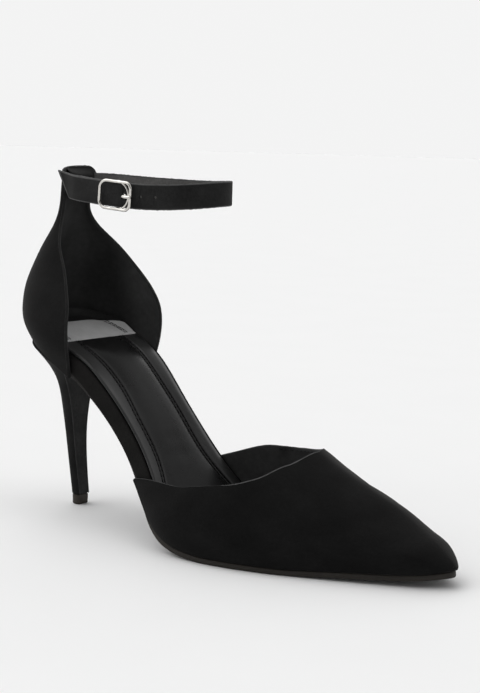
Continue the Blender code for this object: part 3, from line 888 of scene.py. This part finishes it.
def paper(name, level):
    """Pale floor with a very faint grain."""
    made = Look(name, Specular_IOR_Level=0.1)
    grain = made.noise(14, 4.0)
    made.colour(grain, [(0.3, grey(level * 0.995)), (0.7, grey(level * 1.005))])
    made.roughness(grain, 0.9, 1.0)
    return made


SUEDE = suede("suede_look", 0.0072, sheen=0.11)
CUP_SUEDE = suede("cup_look", 0.0078, sheen=0.08)
BAND = suede("band_look", 0.0105, 0.04)
STRAP_SUEDE = suede("strap_look", 0.0195)
TAB_SUEDE = suede("tab_look", 0.018)
HEEL_SUEDE = suede("heel_look", 0.015)
# paler copy of the heel's suede for the breast: painted light on that face
BREAST_LIT_SUEDE = suede("breast_lit_look", 0.034)
CUP_LINING = shaded_cup_lining("cup_lining_look", 0.062, 0.4, 0.65, 0.1)
VAMP_LINING = leather("vamp_lining_look", 0.085, 0.65, 0.1)
STRAP_LINING = suede("strap_lining_look", 0.1, 0.02, 0.1)
FOOTBED = footbed("footbed_look", 0.0085, 0.3, 0.34)
STRIP = leather("strip_look", 0.018, 0.4, 0.36)
# near-black faces in the footbed's grooves: painted shade in those recesses
GROOVE_SHADE_LOOK = leather("groove_shade_look", 0.0025, 0.7, 0.05)
# dull seat lining, which also paints the shade that falls on the seat
SEAT = leather("seat_look", 0.014, 0.65, 0.08)
EDGE = raw_edge("edge_look", 0.085)
CUP_EDGE = raw_edge("cup_edge_look", 0.013)
SEAM_EDGE = raw_edge("seam_edge_look", 0.035)
DARK_EDGE = raw_edge("dark_edge_look", 0.014)
STRAP_EDGE = raw_edge("strap_edge_look", 0.06)
SOLE_RUBBER = rubber("outsole_look", 0.021, 0.14, 0.6)
WAIST_RUBBER = rubber("waist_look", 0.009, 0.1, 0.6)
TIP_PLASTIC = rubber("tip_look", 0.03, 0.18, 0.5)
THREAD_LOOK = thread("thread_look", 0.006)
PATCH = woven("patch_look", 0.42)
METAL = polished("buckle_look")


# Sole

def make_outsole():
    """Thin sole with a moulded line round its edge."""
    toe = TOE_ALONG + OUTSOLE_REACH
    rings = []
    starts = stations(BREAST_ALONG + GAP, toe - END_LEFT, SOLE_RINGS)
    for along in starts:
        left, right = board_edges(along, sole_edge(along), toe)
        section = rounded_section(left, right, 0.0, OUTSOLE_THICK, OUTSOLE_CORNER)
        rings.append([on_sole(along, across, lift) for across, lift in section])

    def choose(i, j):
        return 1 if starts[i] < WAIST_END else 0

    ride(loft("outsole_dress", rings, [SOLE_RUBBER, WAIST_RUBBER], choose), "outsole", "outsole")


INSOLE_BACK = SEAT_BACK + INSOLE_INSET
INSOLE_TOE = TOE_ALONG - VAMP_WALL - GAP - 2 * INSOLE_TUCK


def insole_edges(along):
    """Lateral and medial edge of the footbed."""
    under_vamp = clamp((along - TUCK_START) / TUCK_SPAN)
    return board_edges(along, -INSOLE_INSET - INSOLE_TUCK * under_vamp, INSOLE_TOE, INSOLE_BACK)


def lip(along, distance):
    """Rise of the footbed's curled lateral edge at a distance from it, in millimetres."""
    reach = ramp(along, LIP_COMES) * (1.0 - ramp(along, LIP_GOES))
    return LIP * reach * clamp(1.0 - distance / LIP_WIDTH) ** LIP_POWER


def insole_relief(along, across, left, right):
    """Padding, sewn grooves, rubbed dents and the dished seat of the footbed, in millimetres."""
    fit = clamp((right - left) / FULL_WIDTH)
    fade = ramp(along, GROOVE_FADE)
    rise = 0.0
    ends = []
    for side, distance in ((-1, across - left), (1, right - across)):
        line = groove_line[side](along) * fit
        for groove in (line, line + GROOVE_PAIR):
            rise -= GROOVE_DEPTH * fade * hump(distance - groove, GROOVE_WIDTH)
        rise += GROOVE_RIDGE * fade * hump(distance - line - GROOVE_PAIR / 2, GROOVE_RIDGE_WIDTH)
        ends.append(distance - line - GROOVE_PAIR - PANEL_OFF)
    if min(ends) > 0:
        turn = (ends[0] - ends[1]) / (ends[0] + ends[1])
        rise += PANEL_RISE * fit * fade * (1.0 - abs(turn) ** PANEL_ROLL[1 if turn > 0 else -1])
    for at, off, long, wide, deep in zip(*DENTS.values()):
        rise -= deep * hump(along - at, long) * hump(across - off, wide)
    edge = min(across - left, right - across, DISH_BACK * (along - INSOLE_BACK))
    dish = clamp(1.0 - edge / DISH_WIDTH) ** 2
    strip = clamp((right - across) / (groove_line[1](along) * fit))
    rise += fade * (4.0 * FAR_CROWN * strip * (1.0 - strip) - FAR_DROP * (1.0 - strip) ** 2)
    rise += SEAT_DISH * dish * (1.0 - ramp(along, DISH_FRONT))
    return rise + lip(along, across - left)


def insole_top(along, across):
    """Point on the footbed's upper face."""
    left, right = insole_edges(along)
    lift = board_top(along) + GAP + INSOLE_THICK + insole_relief(along, across, left, right)
    return on_sole(along, across, lift)


def make_board():
    """Board wrapped in suede."""
    toe = TOE_ALONG - VAMP_WALL - GAP
    low = OUTSOLE_THICK + GAP
    rings = []
    for along in stations(SEAT_BACK + GAP / 2, toe - END_LEFT, SOLE_RINGS):
        left, right = board_edges(along, 0.0, toe, SEAT_BACK)
        high = board_top(along)
        section = rounded_section(left, right, low, high, BOARD_CORNER)
        half = len(section) // 2
        upper = [(left + (right - left) * share, high) for share in BOARD_SHARES]
        ring = []
        for across, lift in section[:half] + upper + section[half:]:
            share = (lift - low) / (high - low)
            ring.append(on_sole(along, across, lift + share * lip(along, across - left)))
        rings.append(ring)
    ride(loft("insole_board_dress", rings, [BAND]), "suede", "insole_board")


def footbed_points(along, left, right, fit):
    """Places across the footbed, closer together at its sewn lines."""
    rows = {}
    for side in SIDES:
        line = groove_line[side](along)
        steps = [step * min(1.0, (line + SEWN_STEPS[0]) / NEAR_FULL) for step in NEAR_STEPS]
        steps += [line + step for step in SEWN_STEPS]
        rows[side] = [step * fit for step in steps]
    lateral = [left + step for step in rows[-1]]
    medial = [right - step for step in rows[1]][::-1]
    return lateral + list(np.linspace(lateral[-1], medial[0], MIDDLE_POINTS + 2)[1:-1]) + medial


def make_insole():
    """Padded leather footbed with two pairs of sewn lines."""
    rings = []
    starts = stations(INSOLE_BACK + GAP / 2, INSOLE_TOE - END_LEFT, FOOTBED_RINGS, FOOTBED_CROWD)
    for along in starts:
        left, right = insole_edges(along)
        fit = clamp((right - left) / FULL_WIDTH)
        low = board_top(along) + GAP
        corner = INSOLE_CORNER * fit
        raised = low + lip(along, 0.0)
        under = [on_sole(along, left + fit * step, low + lip(along, fit * step)) for step in UNDER_STEPS]
        ring = [under[-1], on_sole(along, right - corner, low),
                on_sole(along, right, low + corner), on_sole(along, right, low + INSOLE_THICK - corner)]
        lead = len(ring)
        for across in footbed_points(along, left, right, fit)[::-1]:
            edge = min(across - left, right - across)
            drop = corner - math.sqrt(max(corner ** 2 - max(corner - edge, 0.0) ** 2, 0.0))
            relief = insole_relief(along, across, left, right)
            ring.append(on_sole(along, across, low + INSOLE_THICK - drop + relief))
        end = len(ring)
        ring += [on_sole(along, left, raised + corner), on_sole(along, left + corner, raised)]
        rings.append(ring + under[:-1])
    strip = len(NEAR_STEPS) + SEWN_STEPS.index(0.0)
    sunk = [len(NEAR_STEPS) + SEWN_STEPS.index(step) for step in SUNK_STEPS]

    def choose(i, j):
        from_edge = min(j - lead, end - 2 - j)
        if starts[i] < SEAT_END:
            return 3
        # faces that lie in a groove take the painted groove shade
        if from_edge in sunk:
            return 2
        return 0 if from_edge >= strip else 1

    looks = [FOOTBED, STRIP, GROOVE_SHADE_LOOK, SEAT]
    piece = ride(loft("insole_dress", rings, looks, choose, sharp=60.0), "footbed", "insole")


def make_footbed_stitches():
    """Sewn lines in the footbed's grooves."""
    paths = []
    for side in SIDES:
        for extra in (0.0, GROOVE_PAIR):
            points = []
            for along in np.arange(*SEWN_REACH, 1.0):
                left, right = insole_edges(along)
                distance = groove_line[side](along) * clamp((right - left) / FULL_WIDTH) + extra
                points.append(insole_top(along, left + distance if side < 0 else right - distance))
            paths += stitch_paths(points, [SEWN_UP] * len(points))
    ride(tubes("footbed_stitches", paths, THREAD, [THREAD_LOOK], sides=6), "footbed")


def patch_point(across_share, depth_share, lift):
    """Point above the seat on the patch's own grid, lateral to medial and front to back."""
    turn = 2.0 * across_share - 1.0
    back = PATCH_BACK + PATCH_CURVE * turn ** PATCH_SQUARE
    along = PATCH_FRONT + (back - PATCH_FRONT) * depth_share
    front_left, front_right = insole_edges(PATCH_FRONT)
    left, right = insole_edges(along)
    start = max(front_left + PATCH_INSET, left + PATCH_INSET / 2)
    stop = min(front_right - PATCH_INSET, right - PATCH_INSET / 2)
    across = start + (stop - start) * across_share
    return insole_top(along, across) + PATCH_UP * (lift * MM)


def make_patch():
    """Bare woven patch sewn across the heel seat, with its folded ends."""
    across_shares, depth_shares = [np.linspace(0, 1, count) for count in PATCH_GRID]
    solid = bmesh.new()
    layers = []
    for top in (False, True):
        layer = []
        for depth in depth_shares:
            points = []
            for share in across_shares:
                fold = PATCH_FOLD * ramp(min(share, 1 - share) * PATCH_LONG, PATCH_FOLD_END)
                sunk = PATCH_SUNK if depth in (0, 1) or share in (0, 1) else 0.0
                lift = PATCH_THICK + fold - sunk if top else PATCH_UNDER
                points.append(solid.verts.new(patch_point(share, depth, lift)))
            layer.append(points)
        bridge(solid, layer, False)
        layers.append(layer)
    low, high = layers
    last_i = len(depth_shares) - 1
    last_j = len(across_shares) - 1
    border = [(0, j) for j in range(last_j)] + [(i, last_j) for i in range(last_i)]
    border += [(last_i, j) for j in range(last_j, 0, -1)] + [(i, 0) for i in range(last_i, 0, -1)]
    for (i, j), (p, q) in zip(border, border[1:] + border[:1]):
        solid.faces.new((low[i][j], high[i][j], high[p][q], low[p][q]))
    bmesh.ops.recalc_face_normals(solid, faces=solid.faces)
    ride(add_piece("seat_patch", solid, [PATCH], sharp=60.0), "footbed")


def make_patch_stitches():
    """Sewn lines at the patch's ends."""
    paths = []
    for share in PATCH_SEAMS:
        points = []
        for depth in np.linspace(*SEAM_REACH, SEAM_POINTS):
            points.append(patch_point(share + PATCH_SKEW * depth, depth, PATCH_THICK + PATCH_FOLD))
        paths += stitch_paths(points, [SEAM_UP] * len(points), *PATCH_STITCH)
    ride(tubes("patch_stitches", paths, PATCH_THREAD, [THREAD_LOOK], sides=6), "footbed")


# Vamp

def vamp_relief(along, share):
    """Soft ridge over the end of the toe stiffener and shallow flex folds, in millimetres."""
    past = along - (TOE_RIDGE - TOE_RIDGE_SWEEP * share ** 2)
    fade = ramp(share, TOE_RIDGE_COMES) * ramp(share, TOE_RIDGE_GOES)
    rise = fade * TOE_RIDGE_HIGH * hump(past, TOE_RIDGE_WIDE)
    rise -= fade * HOLLOW_DEEP * hump(past + HOLLOW_BACK, HOLLOW_WIDE)
    fold = hump(along - FLEX_ALONG + FLEX_SWEEP * share, FLEX_WIDE) * hump(share - FLEX_SHARE, FLEX_LONG)
    return rise - FLEX_DEEP * ramp(share, FLEX_COMES) * fold


def vamp_section(base, half, girth, ridge, widest):
    """Curve across one side of the vamp, as places by run from the lower edge to the ridge."""
    under = math.acos(min(1.0, half / widest)) if widest > 0 else 0.0
    samples = []
    for angle in np.linspace(-under, math.pi / 2, SECTION_POINTS):
        if angle < 0:
            across = widest * math.cos(angle)
            lift = girth + (girth - base) * math.sin(angle) / math.sin(under)
        else:
            across = widest * max(math.cos(angle), 0.0) ** (2 / RIDGE_PEAK)
            lift = girth + (ridge - girth) * math.sin(angle) ** (2 / RIDGE_PEAK)
        samples.append((across, lift))
    columns = np.array(samples).T
    run = running(np.hypot(*np.diff(columns)))

    def at(where):
        return np.array([np.interp(where, run, column) for column in columns])

    return at, run[-1]


def vamp_rib(along, side, count):
    """Points from the vamp's lower edge up one side to its top edge or ridge."""
    shape = round_end(TOE_ALONG + VAMP_REACH - along, TOE_ROUND)
    base = OUTSOLE_THICK + GAP
    half = (board_half[side](along) + GAP + VAMP_WALL) * shape
    ridge = base + (vamp_ridge(along) - base) * shape
    girth = base + GIRTH_LIFT * shape * min(1.0, (ridge - base) / GIRTH_FULL)
    lean = TOE_OVERHANG * max((along - LEAN_START) / (TOE_ALONG - LEAN_START), 0.0) ** 2
    section, length = vamp_section(base, half, girth, ridge, half + vamp_bulge[side](along) * shape)
    top = topline[side](along) if along < THROAT_ALONG else 1.0
    rib = []
    for t in np.linspace(0, top, count):
        across, lift = section(t * length)
        ahead = min(t * length + SECTION_STEP, length)
        slope = section(ahead) - section(max(ahead - 2 * SECTION_STEP, 0.0))
        slope *= vamp_relief(along, t) * shape / max(math.hypot(*slope), LEAST_STEP)
        rise = min(1.0, (lift - base) / max(girth - base, LEAST))
        height = max(lift - base, 0.0) / max(ridge - base, LEAST)
        shift = vamp_crest(along) * shape * height ** CREST_POWER
        middle = sole_axis(along) + shift
        rib.append(on_sole(along, middle + side * (across + slope[1]), lift - slope[0])
                   + Vector((lean * rise * MM, 0, 0)))
    return rib


def make_vamp():
    """Hollow suede forepart with lining and cut edge."""
    start = VAMP["along"][0]
    reach = THROAT_ALONG - start
    rear = [start + reach * math.sin(math.pi / 2 * t ** REAR_CROWD) for t in np.linspace(0, 1, REAR_RIBS)]
    toe = TOE_ALONG + VAMP_REACH
    front = [toe - (toe - THROAT_ALONG) * t ** FRONT_CROWD for t in np.linspace(1, 0, FRONT_RIBS)[1:]]
    strips = []
    top = {}
    for side in SIDES:
        ribs = [vamp_rib(along, side, RIB_POINTS) for along in rear + front]
        strips.append([rib[::side] for rib in ribs])
        top[side] = [rib[-1] for rib in ribs[:len(rear)]]
    looks = [SUEDE, DARK_EDGE, VAMP_LINING]
    vamp = ride(thick_shell("vamp_dress", strips, VAMP_WALL, looks), "suede", "vamp")
    edge = [point for along, point in zip(rear, top[-1]) if along > EDGE_START]
    ride(tapered_tube("vamp_edge", edge, EDGE_BEAD, [EDGE]), "suede")
    return vamp, top


def make_vamp_stitches(vamp, top):
    """Sewn line on the lining, just below the top edge."""
    paths = []
    for side in SIDES:
        inward = Vector((0.0, -side * VAMP_WALL * VAMP_SEAM_IN, -VAMP_SEAM_DOWN)) * MM
        points, normals = surface_points(vamp, [point + inward for point in top[side][VAMP_SEAM_STEPS]])
        paths += stitch_paths(points, normals)
    ride(tubes("vamp_stitches", paths, THREAD, [THREAD_LOOK], sides=6), "suede")


# Heel cup

def seat_drop(along):
    """How far the seat line lies above or below its height at the back of the seat."""
    return underside(along) - underside(SEAT_BACK)


def counter_row(height, count):
    """One U-shaped row of the heel cup, from its inner front edge round the back."""
    back = counter_back(height)
    front = counter_front(height)
    half = counter_half(height)
    drop = COUNTER["height"][-1] - height
    tilt = max(0.0, 1.0 - (height - COUNTER["height"][0]) / CUP_LEVEL) ** 2
    middle = math.radians(TAB_SIDE)
    first = middle - (math.pi / 2 + middle) * (TAB_TOP + (1 - TAB_TOP) * round_end(drop, TAB_NEAR))
    last = middle + (math.pi / 2 - middle) * (TAB_TOP + (1 - TAB_TOP) * round_end(drop, TAB_FAR))
    power = 2.0 / SEAT_SQUARE
    row = []
    for turn in np.linspace(first, last, count):
        along = front - (front - back) * max(math.cos(turn), 0.0) ** power
        across = half * signed_power(math.sin(turn), power)
        row.append(place(along, across, height + tilt * seat_drop(along)))
    return row[::-1]


def make_counter():
    """Hollow suede heel cup with neck, tab, lining and cut edge."""
    low = COUNTER["height"][0]
    top = COUNTER["height"][-1]
    heights = list(np.linspace(low, top - TAB_NEAR, CUP_ROWS))
    turns = np.radians(np.linspace(TAB_TURN, 90, TAB_ROWS))
    heights += [top - TAB_NEAR * (1 - math.sin(turn)) for turn in turns]
    rows = [counter_row(height, CUP_POINTS) for height in heights]
    looks = [CUP_SUEDE, DARK_EDGE, CUP_LINING]
    ride(thick_shell("counter_dress", [rows], COUNTER_WALL, looks), "suede", "counter")
    edge = [row[-1] for row in rows[2:]] + rows[-1][-2:0:-1] + [row[0] for row in rows[:1:-1]]
    ride(tubes("counter_edge", [edge], CUP_BEAD, [CUP_EDGE], sides=8), "suede")


# Heel

def heel_ring(height, back, front, half, wrap):
    """D-shaped ring of the heel: round back, flat breast."""
    limit = math.radians(wrap)
    square = 2.0 + (SEAT_SQUARE - 2.0) * max(0.0, (height - HEEL_SQUARE[0]) / HEEL_SQUARE[1])
    power = 2.0 / square
    reach = (front - back) / (1.0 - signed_power(math.cos(limit), power))
    tilt = max(0.0, 1.0 - (HEEL["height"][-1] - height) / HEEL_LEVEL) ** HEEL_TILT
    ring = []
    for turn in np.linspace(-limit, limit, HEEL_POINTS):
        along = back + reach * (1.0 - signed_power(math.cos(turn), power))
        across = half * signed_power(math.sin(turn), power)
        ring.append(place(along, across, height + tilt * seat_drop(along)))
    breast = [ring[-1].lerp(ring[0], t) for t in np.linspace(0, 1, BREAST_POINTS)[1:-1]]
    return ring + breast


def make_heel():
    """Covered stiletto heel with the seams of its cover, and the hard tip."""
    low = HEEL["height"][0]
    top = HEEL["height"][-1]
    rings = []
    for t in np.linspace(0, 1, HEEL_RINGS):
        height = top - (top - low) * t ** HEEL_CROWD
        rings.append(heel_ring(height, *[column(height) for column in heel_columns]))

    # the breast's faces take the paler suede, which paints light on that face
    def choose(i, j):
        return 1 if j >= HEEL_POINTS - 1 else 0

    ride(loft("heel_dress", rings, [HEEL_SUEDE, BREAST_LIT_SUEDE], choose, sharp=55.0), "suede", "heel")
    seams = [[ring[corner] for ring in rings[2:]] for corner in (0, HEEL_POINTS - 1)]
    ride(tubes("heel_seams", seams, EDGE_BEAD, [SEAM_EDGE], sides=8), "suede")
    back, front, half, wrap = [HEEL[name][0] for name in ("back", "front", "half", "wrap")]
    rings = []
    for height, less in zip(TIP["height"], TIP["less"]):
        rings.append(heel_ring(height, back + less, front - less, half - less, wrap))
    ride(loft("heel_tip_dress", rings, [TIP_PLASTIC]), "tip", "heel_tip")


# Ankle strap and buckle

def strap_route():
    """Curves of the strap's middle line and its whole run."""
    steps = np.diff(np.stack(list(STRAP.values()), axis=1), axis=0)
    run = running(np.linalg.norm(steps, axis=1))
    return curves({"run": run, **STRAP}), run[-1]


STRAP_CURVES, STRAP_LENGTH = strap_route()


def strap_point(run, out, up, forward=0.0):
    """World position beside the strap's middle line, at a distance along it."""
    point = Vector([curve(run) for curve in STRAP_CURVES])
    ahead = Vector([curve(run + SECTION_STEP) for curve in STRAP_CURVES])
    heading = (ahead - point).normalized()
    outward = Vector((-heading.y, heading.x, 0)).normalized()
    upright = heading.cross(outward)
    if upright.z < 0:
        upright = -upright
    return place(*(point + heading * forward + outward * out + upright * up))


def make_tab_lining():
    """Soft lining inside the tab, over the stretch of strap that passes through the neck."""
    rows_count, count = LINING_GRID
    low, high = LINING_HEIGHTS
    runs = np.linspace(STRAP_LENGTH, 0.0, LINING_SEARCH)
    inside = [run for run in runs if run < STRAP_LENGTH / 3 and STRAP_CURVES[0](run) < LINING_FRONT]
    rows = []
    for height in np.linspace(low, high, rows_count):
        cover = 1.0 - ramp((height - low) / (high - low), (LINING_CLOSE, 1.0))
        outer = counter_row(height, count)
        row = []
        for i, point in enumerate(outer):
            ahead = outer[min(i + 1, count - 1)] - outer[max(i - 1, 0)]
            inward = Vector((-ahead.y, ahead.x, 0.0)).normalized()
            wall = point + inward * ((COUNTER_WALL + LINING_OFF) * MM)
            run = np.interp(i / (count - 1), (0, 1), (inside[0], inside[-1]))
            over = strap_point(run, -STRAP_THICK / 2 - GAP, 0.0)
            over.x += LINING_PAD * MM * (1.0 - (2.0 * i / (count - 1) - 1.0) ** 2)
            over.z = point.z
            row.append(wall.lerp(over, cover))
        rows.append(row)
    looks = [TAB_SUEDE, DARK_EDGE, TAB_SUEDE]
    piece = ride(thick_shell("tab_lining", [rows], LINING_THICK, looks), "suede")


def cut_hole(piece, run, diameter):
    """Round hole through the strap."""
    paths = [[strap_point(run, 2 * STRAP_THICK * t, 0.0) for t in (-1, 1)]]
    punch = tubes("punch", paths, diameter / 2, [DARK_EDGE], sides=24)
    cut = piece.modifiers.new("hole", "BOOLEAN")
    cut.operation = "DIFFERENCE"
    cut.solver = "EXACT"
    cut.object = punch
    bpy.context.view_layer.update()
    shaped = bpy.data.meshes.new_from_object(piece.evaluated_get(bpy.context.evaluated_depsgraph_get()))
    piece.modifiers.clear()
    piece.data = shaped
    bpy.data.objects.remove(punch, do_unlink=True)


def make_strap():
    """Suede band with a grey lining, pale cut edges, punched holes and a slanted end."""
    count = STRAP_RINGS
    steps = STRAP_STEPS
    fray = np.random.default_rng(FRAY_SEED).normal(0.0, FRAY, (count + 1, 4 * steps))
    half = STRAP_WIDTH / 2
    section = rounded_section(-half, half, -STRAP_THICK / 2, STRAP_THICK / 2, STRAP_CORNER, steps)
    rings = []
    for i in range(count + 1):
        run = STRAP_LENGTH * i / count
        slant = TAIL_SLANT * max(0.0, 1.0 - (STRAP_LENGTH - run) / TAIL_LENGTH)
        wave = sum(high * math.sin(run / long + start) for high, long, start in STRAP_WAVES)
        ring = []
        for j, (up, out) in enumerate(section):
            up += clamp((abs(up) - half + STRAP_CORNER) / STRAP_CORNER) * fray[i, j]
            ring.append(strap_point(run, out, up + wave, slant * up / half))
        rings.append(ring)
    flat = {2 * steps - 1: 0, 4 * steps - 1: 2}

    def choose(i, j):
        return 1 if i >= count - 2 else flat.get(j, 1)

    strap = loft("ankle_strap_dress", rings, [STRAP_SUEDE, STRAP_EDGE, STRAP_LINING], choose, sharp=60.0)
    cut_hole(strap, buckle_run() - PIN_REACH, PIN_HOLE)
    for run in PUNCH_RUNS:
        cut_hole(strap, run, PUNCH_HOLE)
    ride(strap, "strap", "ankle_strap")


def buckle_run():
    """Distance along the strap of the buckle's middle, on the outer lateral stretch."""
    runs = np.linspace(OUTER_START * STRAP_LENGTH, STRAP_LENGTH, BUCKLE_SEARCH)
    return min(runs, key=lambda run: abs(STRAP_CURVES[0](run) - BUCKLE_ALONG))


def make_buckle():
    """Polished wire frame with its bar, and the pin."""
    middle = buckle_run()
    half = FRAME_LONG / 2
    rail = FRAME_TALL / 2
    out = STRAP_THICK / 2 + GAP + FRAME_WIRE / 2

    def at(back, lift, up):
        return strap_point(middle, lift, up - FRAME_DROP, back)

    outline = []
    for back, up in rounded_section(-half, half, -rail, rail, FRAME_CORNER, FRAME_STEPS):
        bow = FRAME_BARREL * (1.0 - (up / rail) ** 2) if back > 0 else 0.0
        outline.append(at(back + bow, out, up))
    ring = tubes("buckle_frame_dress", [outline], FRAME_WIRE / 2, [METAL], sides=18, closed=True)
    ride(ring, "buckle", "buckle_frame")
    inner = []
    for turn in np.radians(np.linspace(-RIM_TURN, RIM_TURN, RIM_POINTS)):
        inner.append(at(RIM_CENTRE - RIM_LONG * math.cos(turn), out, rail * math.sin(turn)))
    ride(tubes("buckle_rim", [inner], RIM_WIRE / 2, [METAL]), "buckle")
    route = [(out, rail), (BAR_BEND - out, rail), (BAR_CUT - out, rail - BAR_CUT), (-out, rail - BAR_BEND)]
    bar = [at(0.0, lift, up) for lift, up in route] + [at(0.0, lift, -up) for lift, up in reversed(route)]
    ride(tubes("buckle_bar", [bar], FRAME_WIRE / 2, [METAL], sides=14), "buckle")
    top = out + FRAME_WIRE / 2 + GAP + PIN_WIRE / 2
    path = [(FRAME_WIRE / 2 + GAP + PIN_WIRE / 2, -out)]
    for lift, bends in ((out, PIN_BEND), (top, PIN_RISE)):
        path += [(PIN_REACH + past, share * lift) for past, share in bends]
    path.append((half + PIN_END, top))
    path = [at(-past, lift, 0.0) for past, lift in path]
    pin = tubes("buckle_pin_dress", [path], PIN_SHOWN / 2, [METAL], sides=14)
    ride(pin, "buckle", "buckle_pin")


# Floor, light and camera

CAMERA_TURN = math.radians(38.4)
CAMERA_RISE = math.radians(8.7)
CAMERA_ROLL = math.radians(1.5)
CAMERA_AWAY = 0.65
CAMERA_TARGET = Vector((0.0815, 0.0, 0.075))
CAMERA_END = 100.0
FOCAL_PIXELS = 1460.0
IMAGE_WIDTH = 480.0
CENTRE_SHIFT = (-25.25, 23.36)  # where the optical axis meets the image, in pixels right and down
SENSOR = 36.0
PALE = 0.9  # light of the room near the horizon
SKY = 2.1  # light from above
SKY_RISE = (0.2, 0.7)
UPWARD = (0.0, 0.0, 1.0)
# Dim parts of the room: direction, where each begins and is full, and the light left in it
SHADES = (
    ((0.24, 0.66, 0.71), 0.74, 0.93, 0.2),
    ((0.60, -0.70, 0.39), 0.3, 0.85, 0.12),
)
SHADE_RISE = (0.1, 0.3)  # the horizon stays pale in the dim parts too
FLOOR_REACH = 40.0
FLOOR_PALE = 0.875


def make_camera():
    """Camera of the photograph."""
    back = Vector((math.sin(CAMERA_TURN) * math.cos(CAMERA_RISE),
                   -math.cos(CAMERA_TURN) * math.cos(CAMERA_RISE), math.sin(CAMERA_RISE)))
    data = bpy.data.cameras.new("camera")
    data.sensor_fit = "HORIZONTAL"
    data.sensor_width = SENSOR
    data.lens = FOCAL_PIXELS * SENSOR / IMAGE_WIDTH
    data.shift_x = -CENTRE_SHIFT[0] / IMAGE_WIDTH
    data.shift_y = CENTRE_SHIFT[1] / IMAGE_WIDTH
    data.clip_end = CAMERA_END
    camera = show("camera", data)
    camera.location = CAMERA_TARGET + back * CAMERA_AWAY
    camera.rotation_mode = "QUATERNION"
    camera.rotation_quaternion = back.to_track_quat("Z", "Y") @ Quaternion((0, 0, 1), CAMERA_ROLL)
    bpy.context.scene.camera = camera


def make_floor():
    """Wide pale floor."""
    mesh = bpy.data.meshes.new("floor")
    corners = [(x * FLOOR_REACH, y * FLOOR_REACH, 0.0) for x, y in ((-1, -1), (1, -1), (1, 1), (-1, 1))]
    mesh.from_pydata(corners, [], [(0, 1, 2, 3)])
    mesh.materials.append(paper("floor_look", FLOOR_PALE).material)
    floor = show("floor", mesh)


def make_room():
    """Soft light from all round: pale at the horizon, brighter above, dimmer high on two sides."""
    world = bpy.data.worlds.new("room")
    world.use_nodes = True
    tree = world.node_tree
    towards = add_node(tree, "TexCoord").outputs["Generated"]

    def toned(direction, limits, results):
        facing = add_node(tree, "VectorMath", {0: towards, 1: direction}, operation="DOT_PRODUCT")
        return ranged(tree, facing.outputs["Value"], limits, results)

    def combine(operation, first, second):
        return add_node(tree, "Math", {0: first, 1: second}, operation=operation).outputs[0]

    light = toned(UPWARD, SKY_RISE, (PALE, SKY))
    rise = toned(UPWARD, SHADE_RISE, (0.0, 1.0))
    for direction, start, stop, left in SHADES:
        taken = combine("MULTIPLY", toned(direction, (start, stop), (0.0, 1.0 - left)), rise)
        light = combine("SUBTRACT", light, combine("MULTIPLY", light, taken))
    background = tree.nodes["Background"]
    background.inputs["Color"].default_value = (1.0, 1.0, 1.0, 1.0)
    tree.links.new(light, background.inputs["Strength"])
    bpy.context.scene.world = world
    bpy.context.scene.view_settings.view_transform = "Standard"


make_outsole()
make_board()
make_insole()
make_footbed_stitches()
make_patch()
make_patch_stitches()
make_vamp_stitches(*make_vamp())
make_counter()
make_heel()
make_strap()
make_tab_lining()
make_buckle()
make_camera()
make_floor()
make_room()
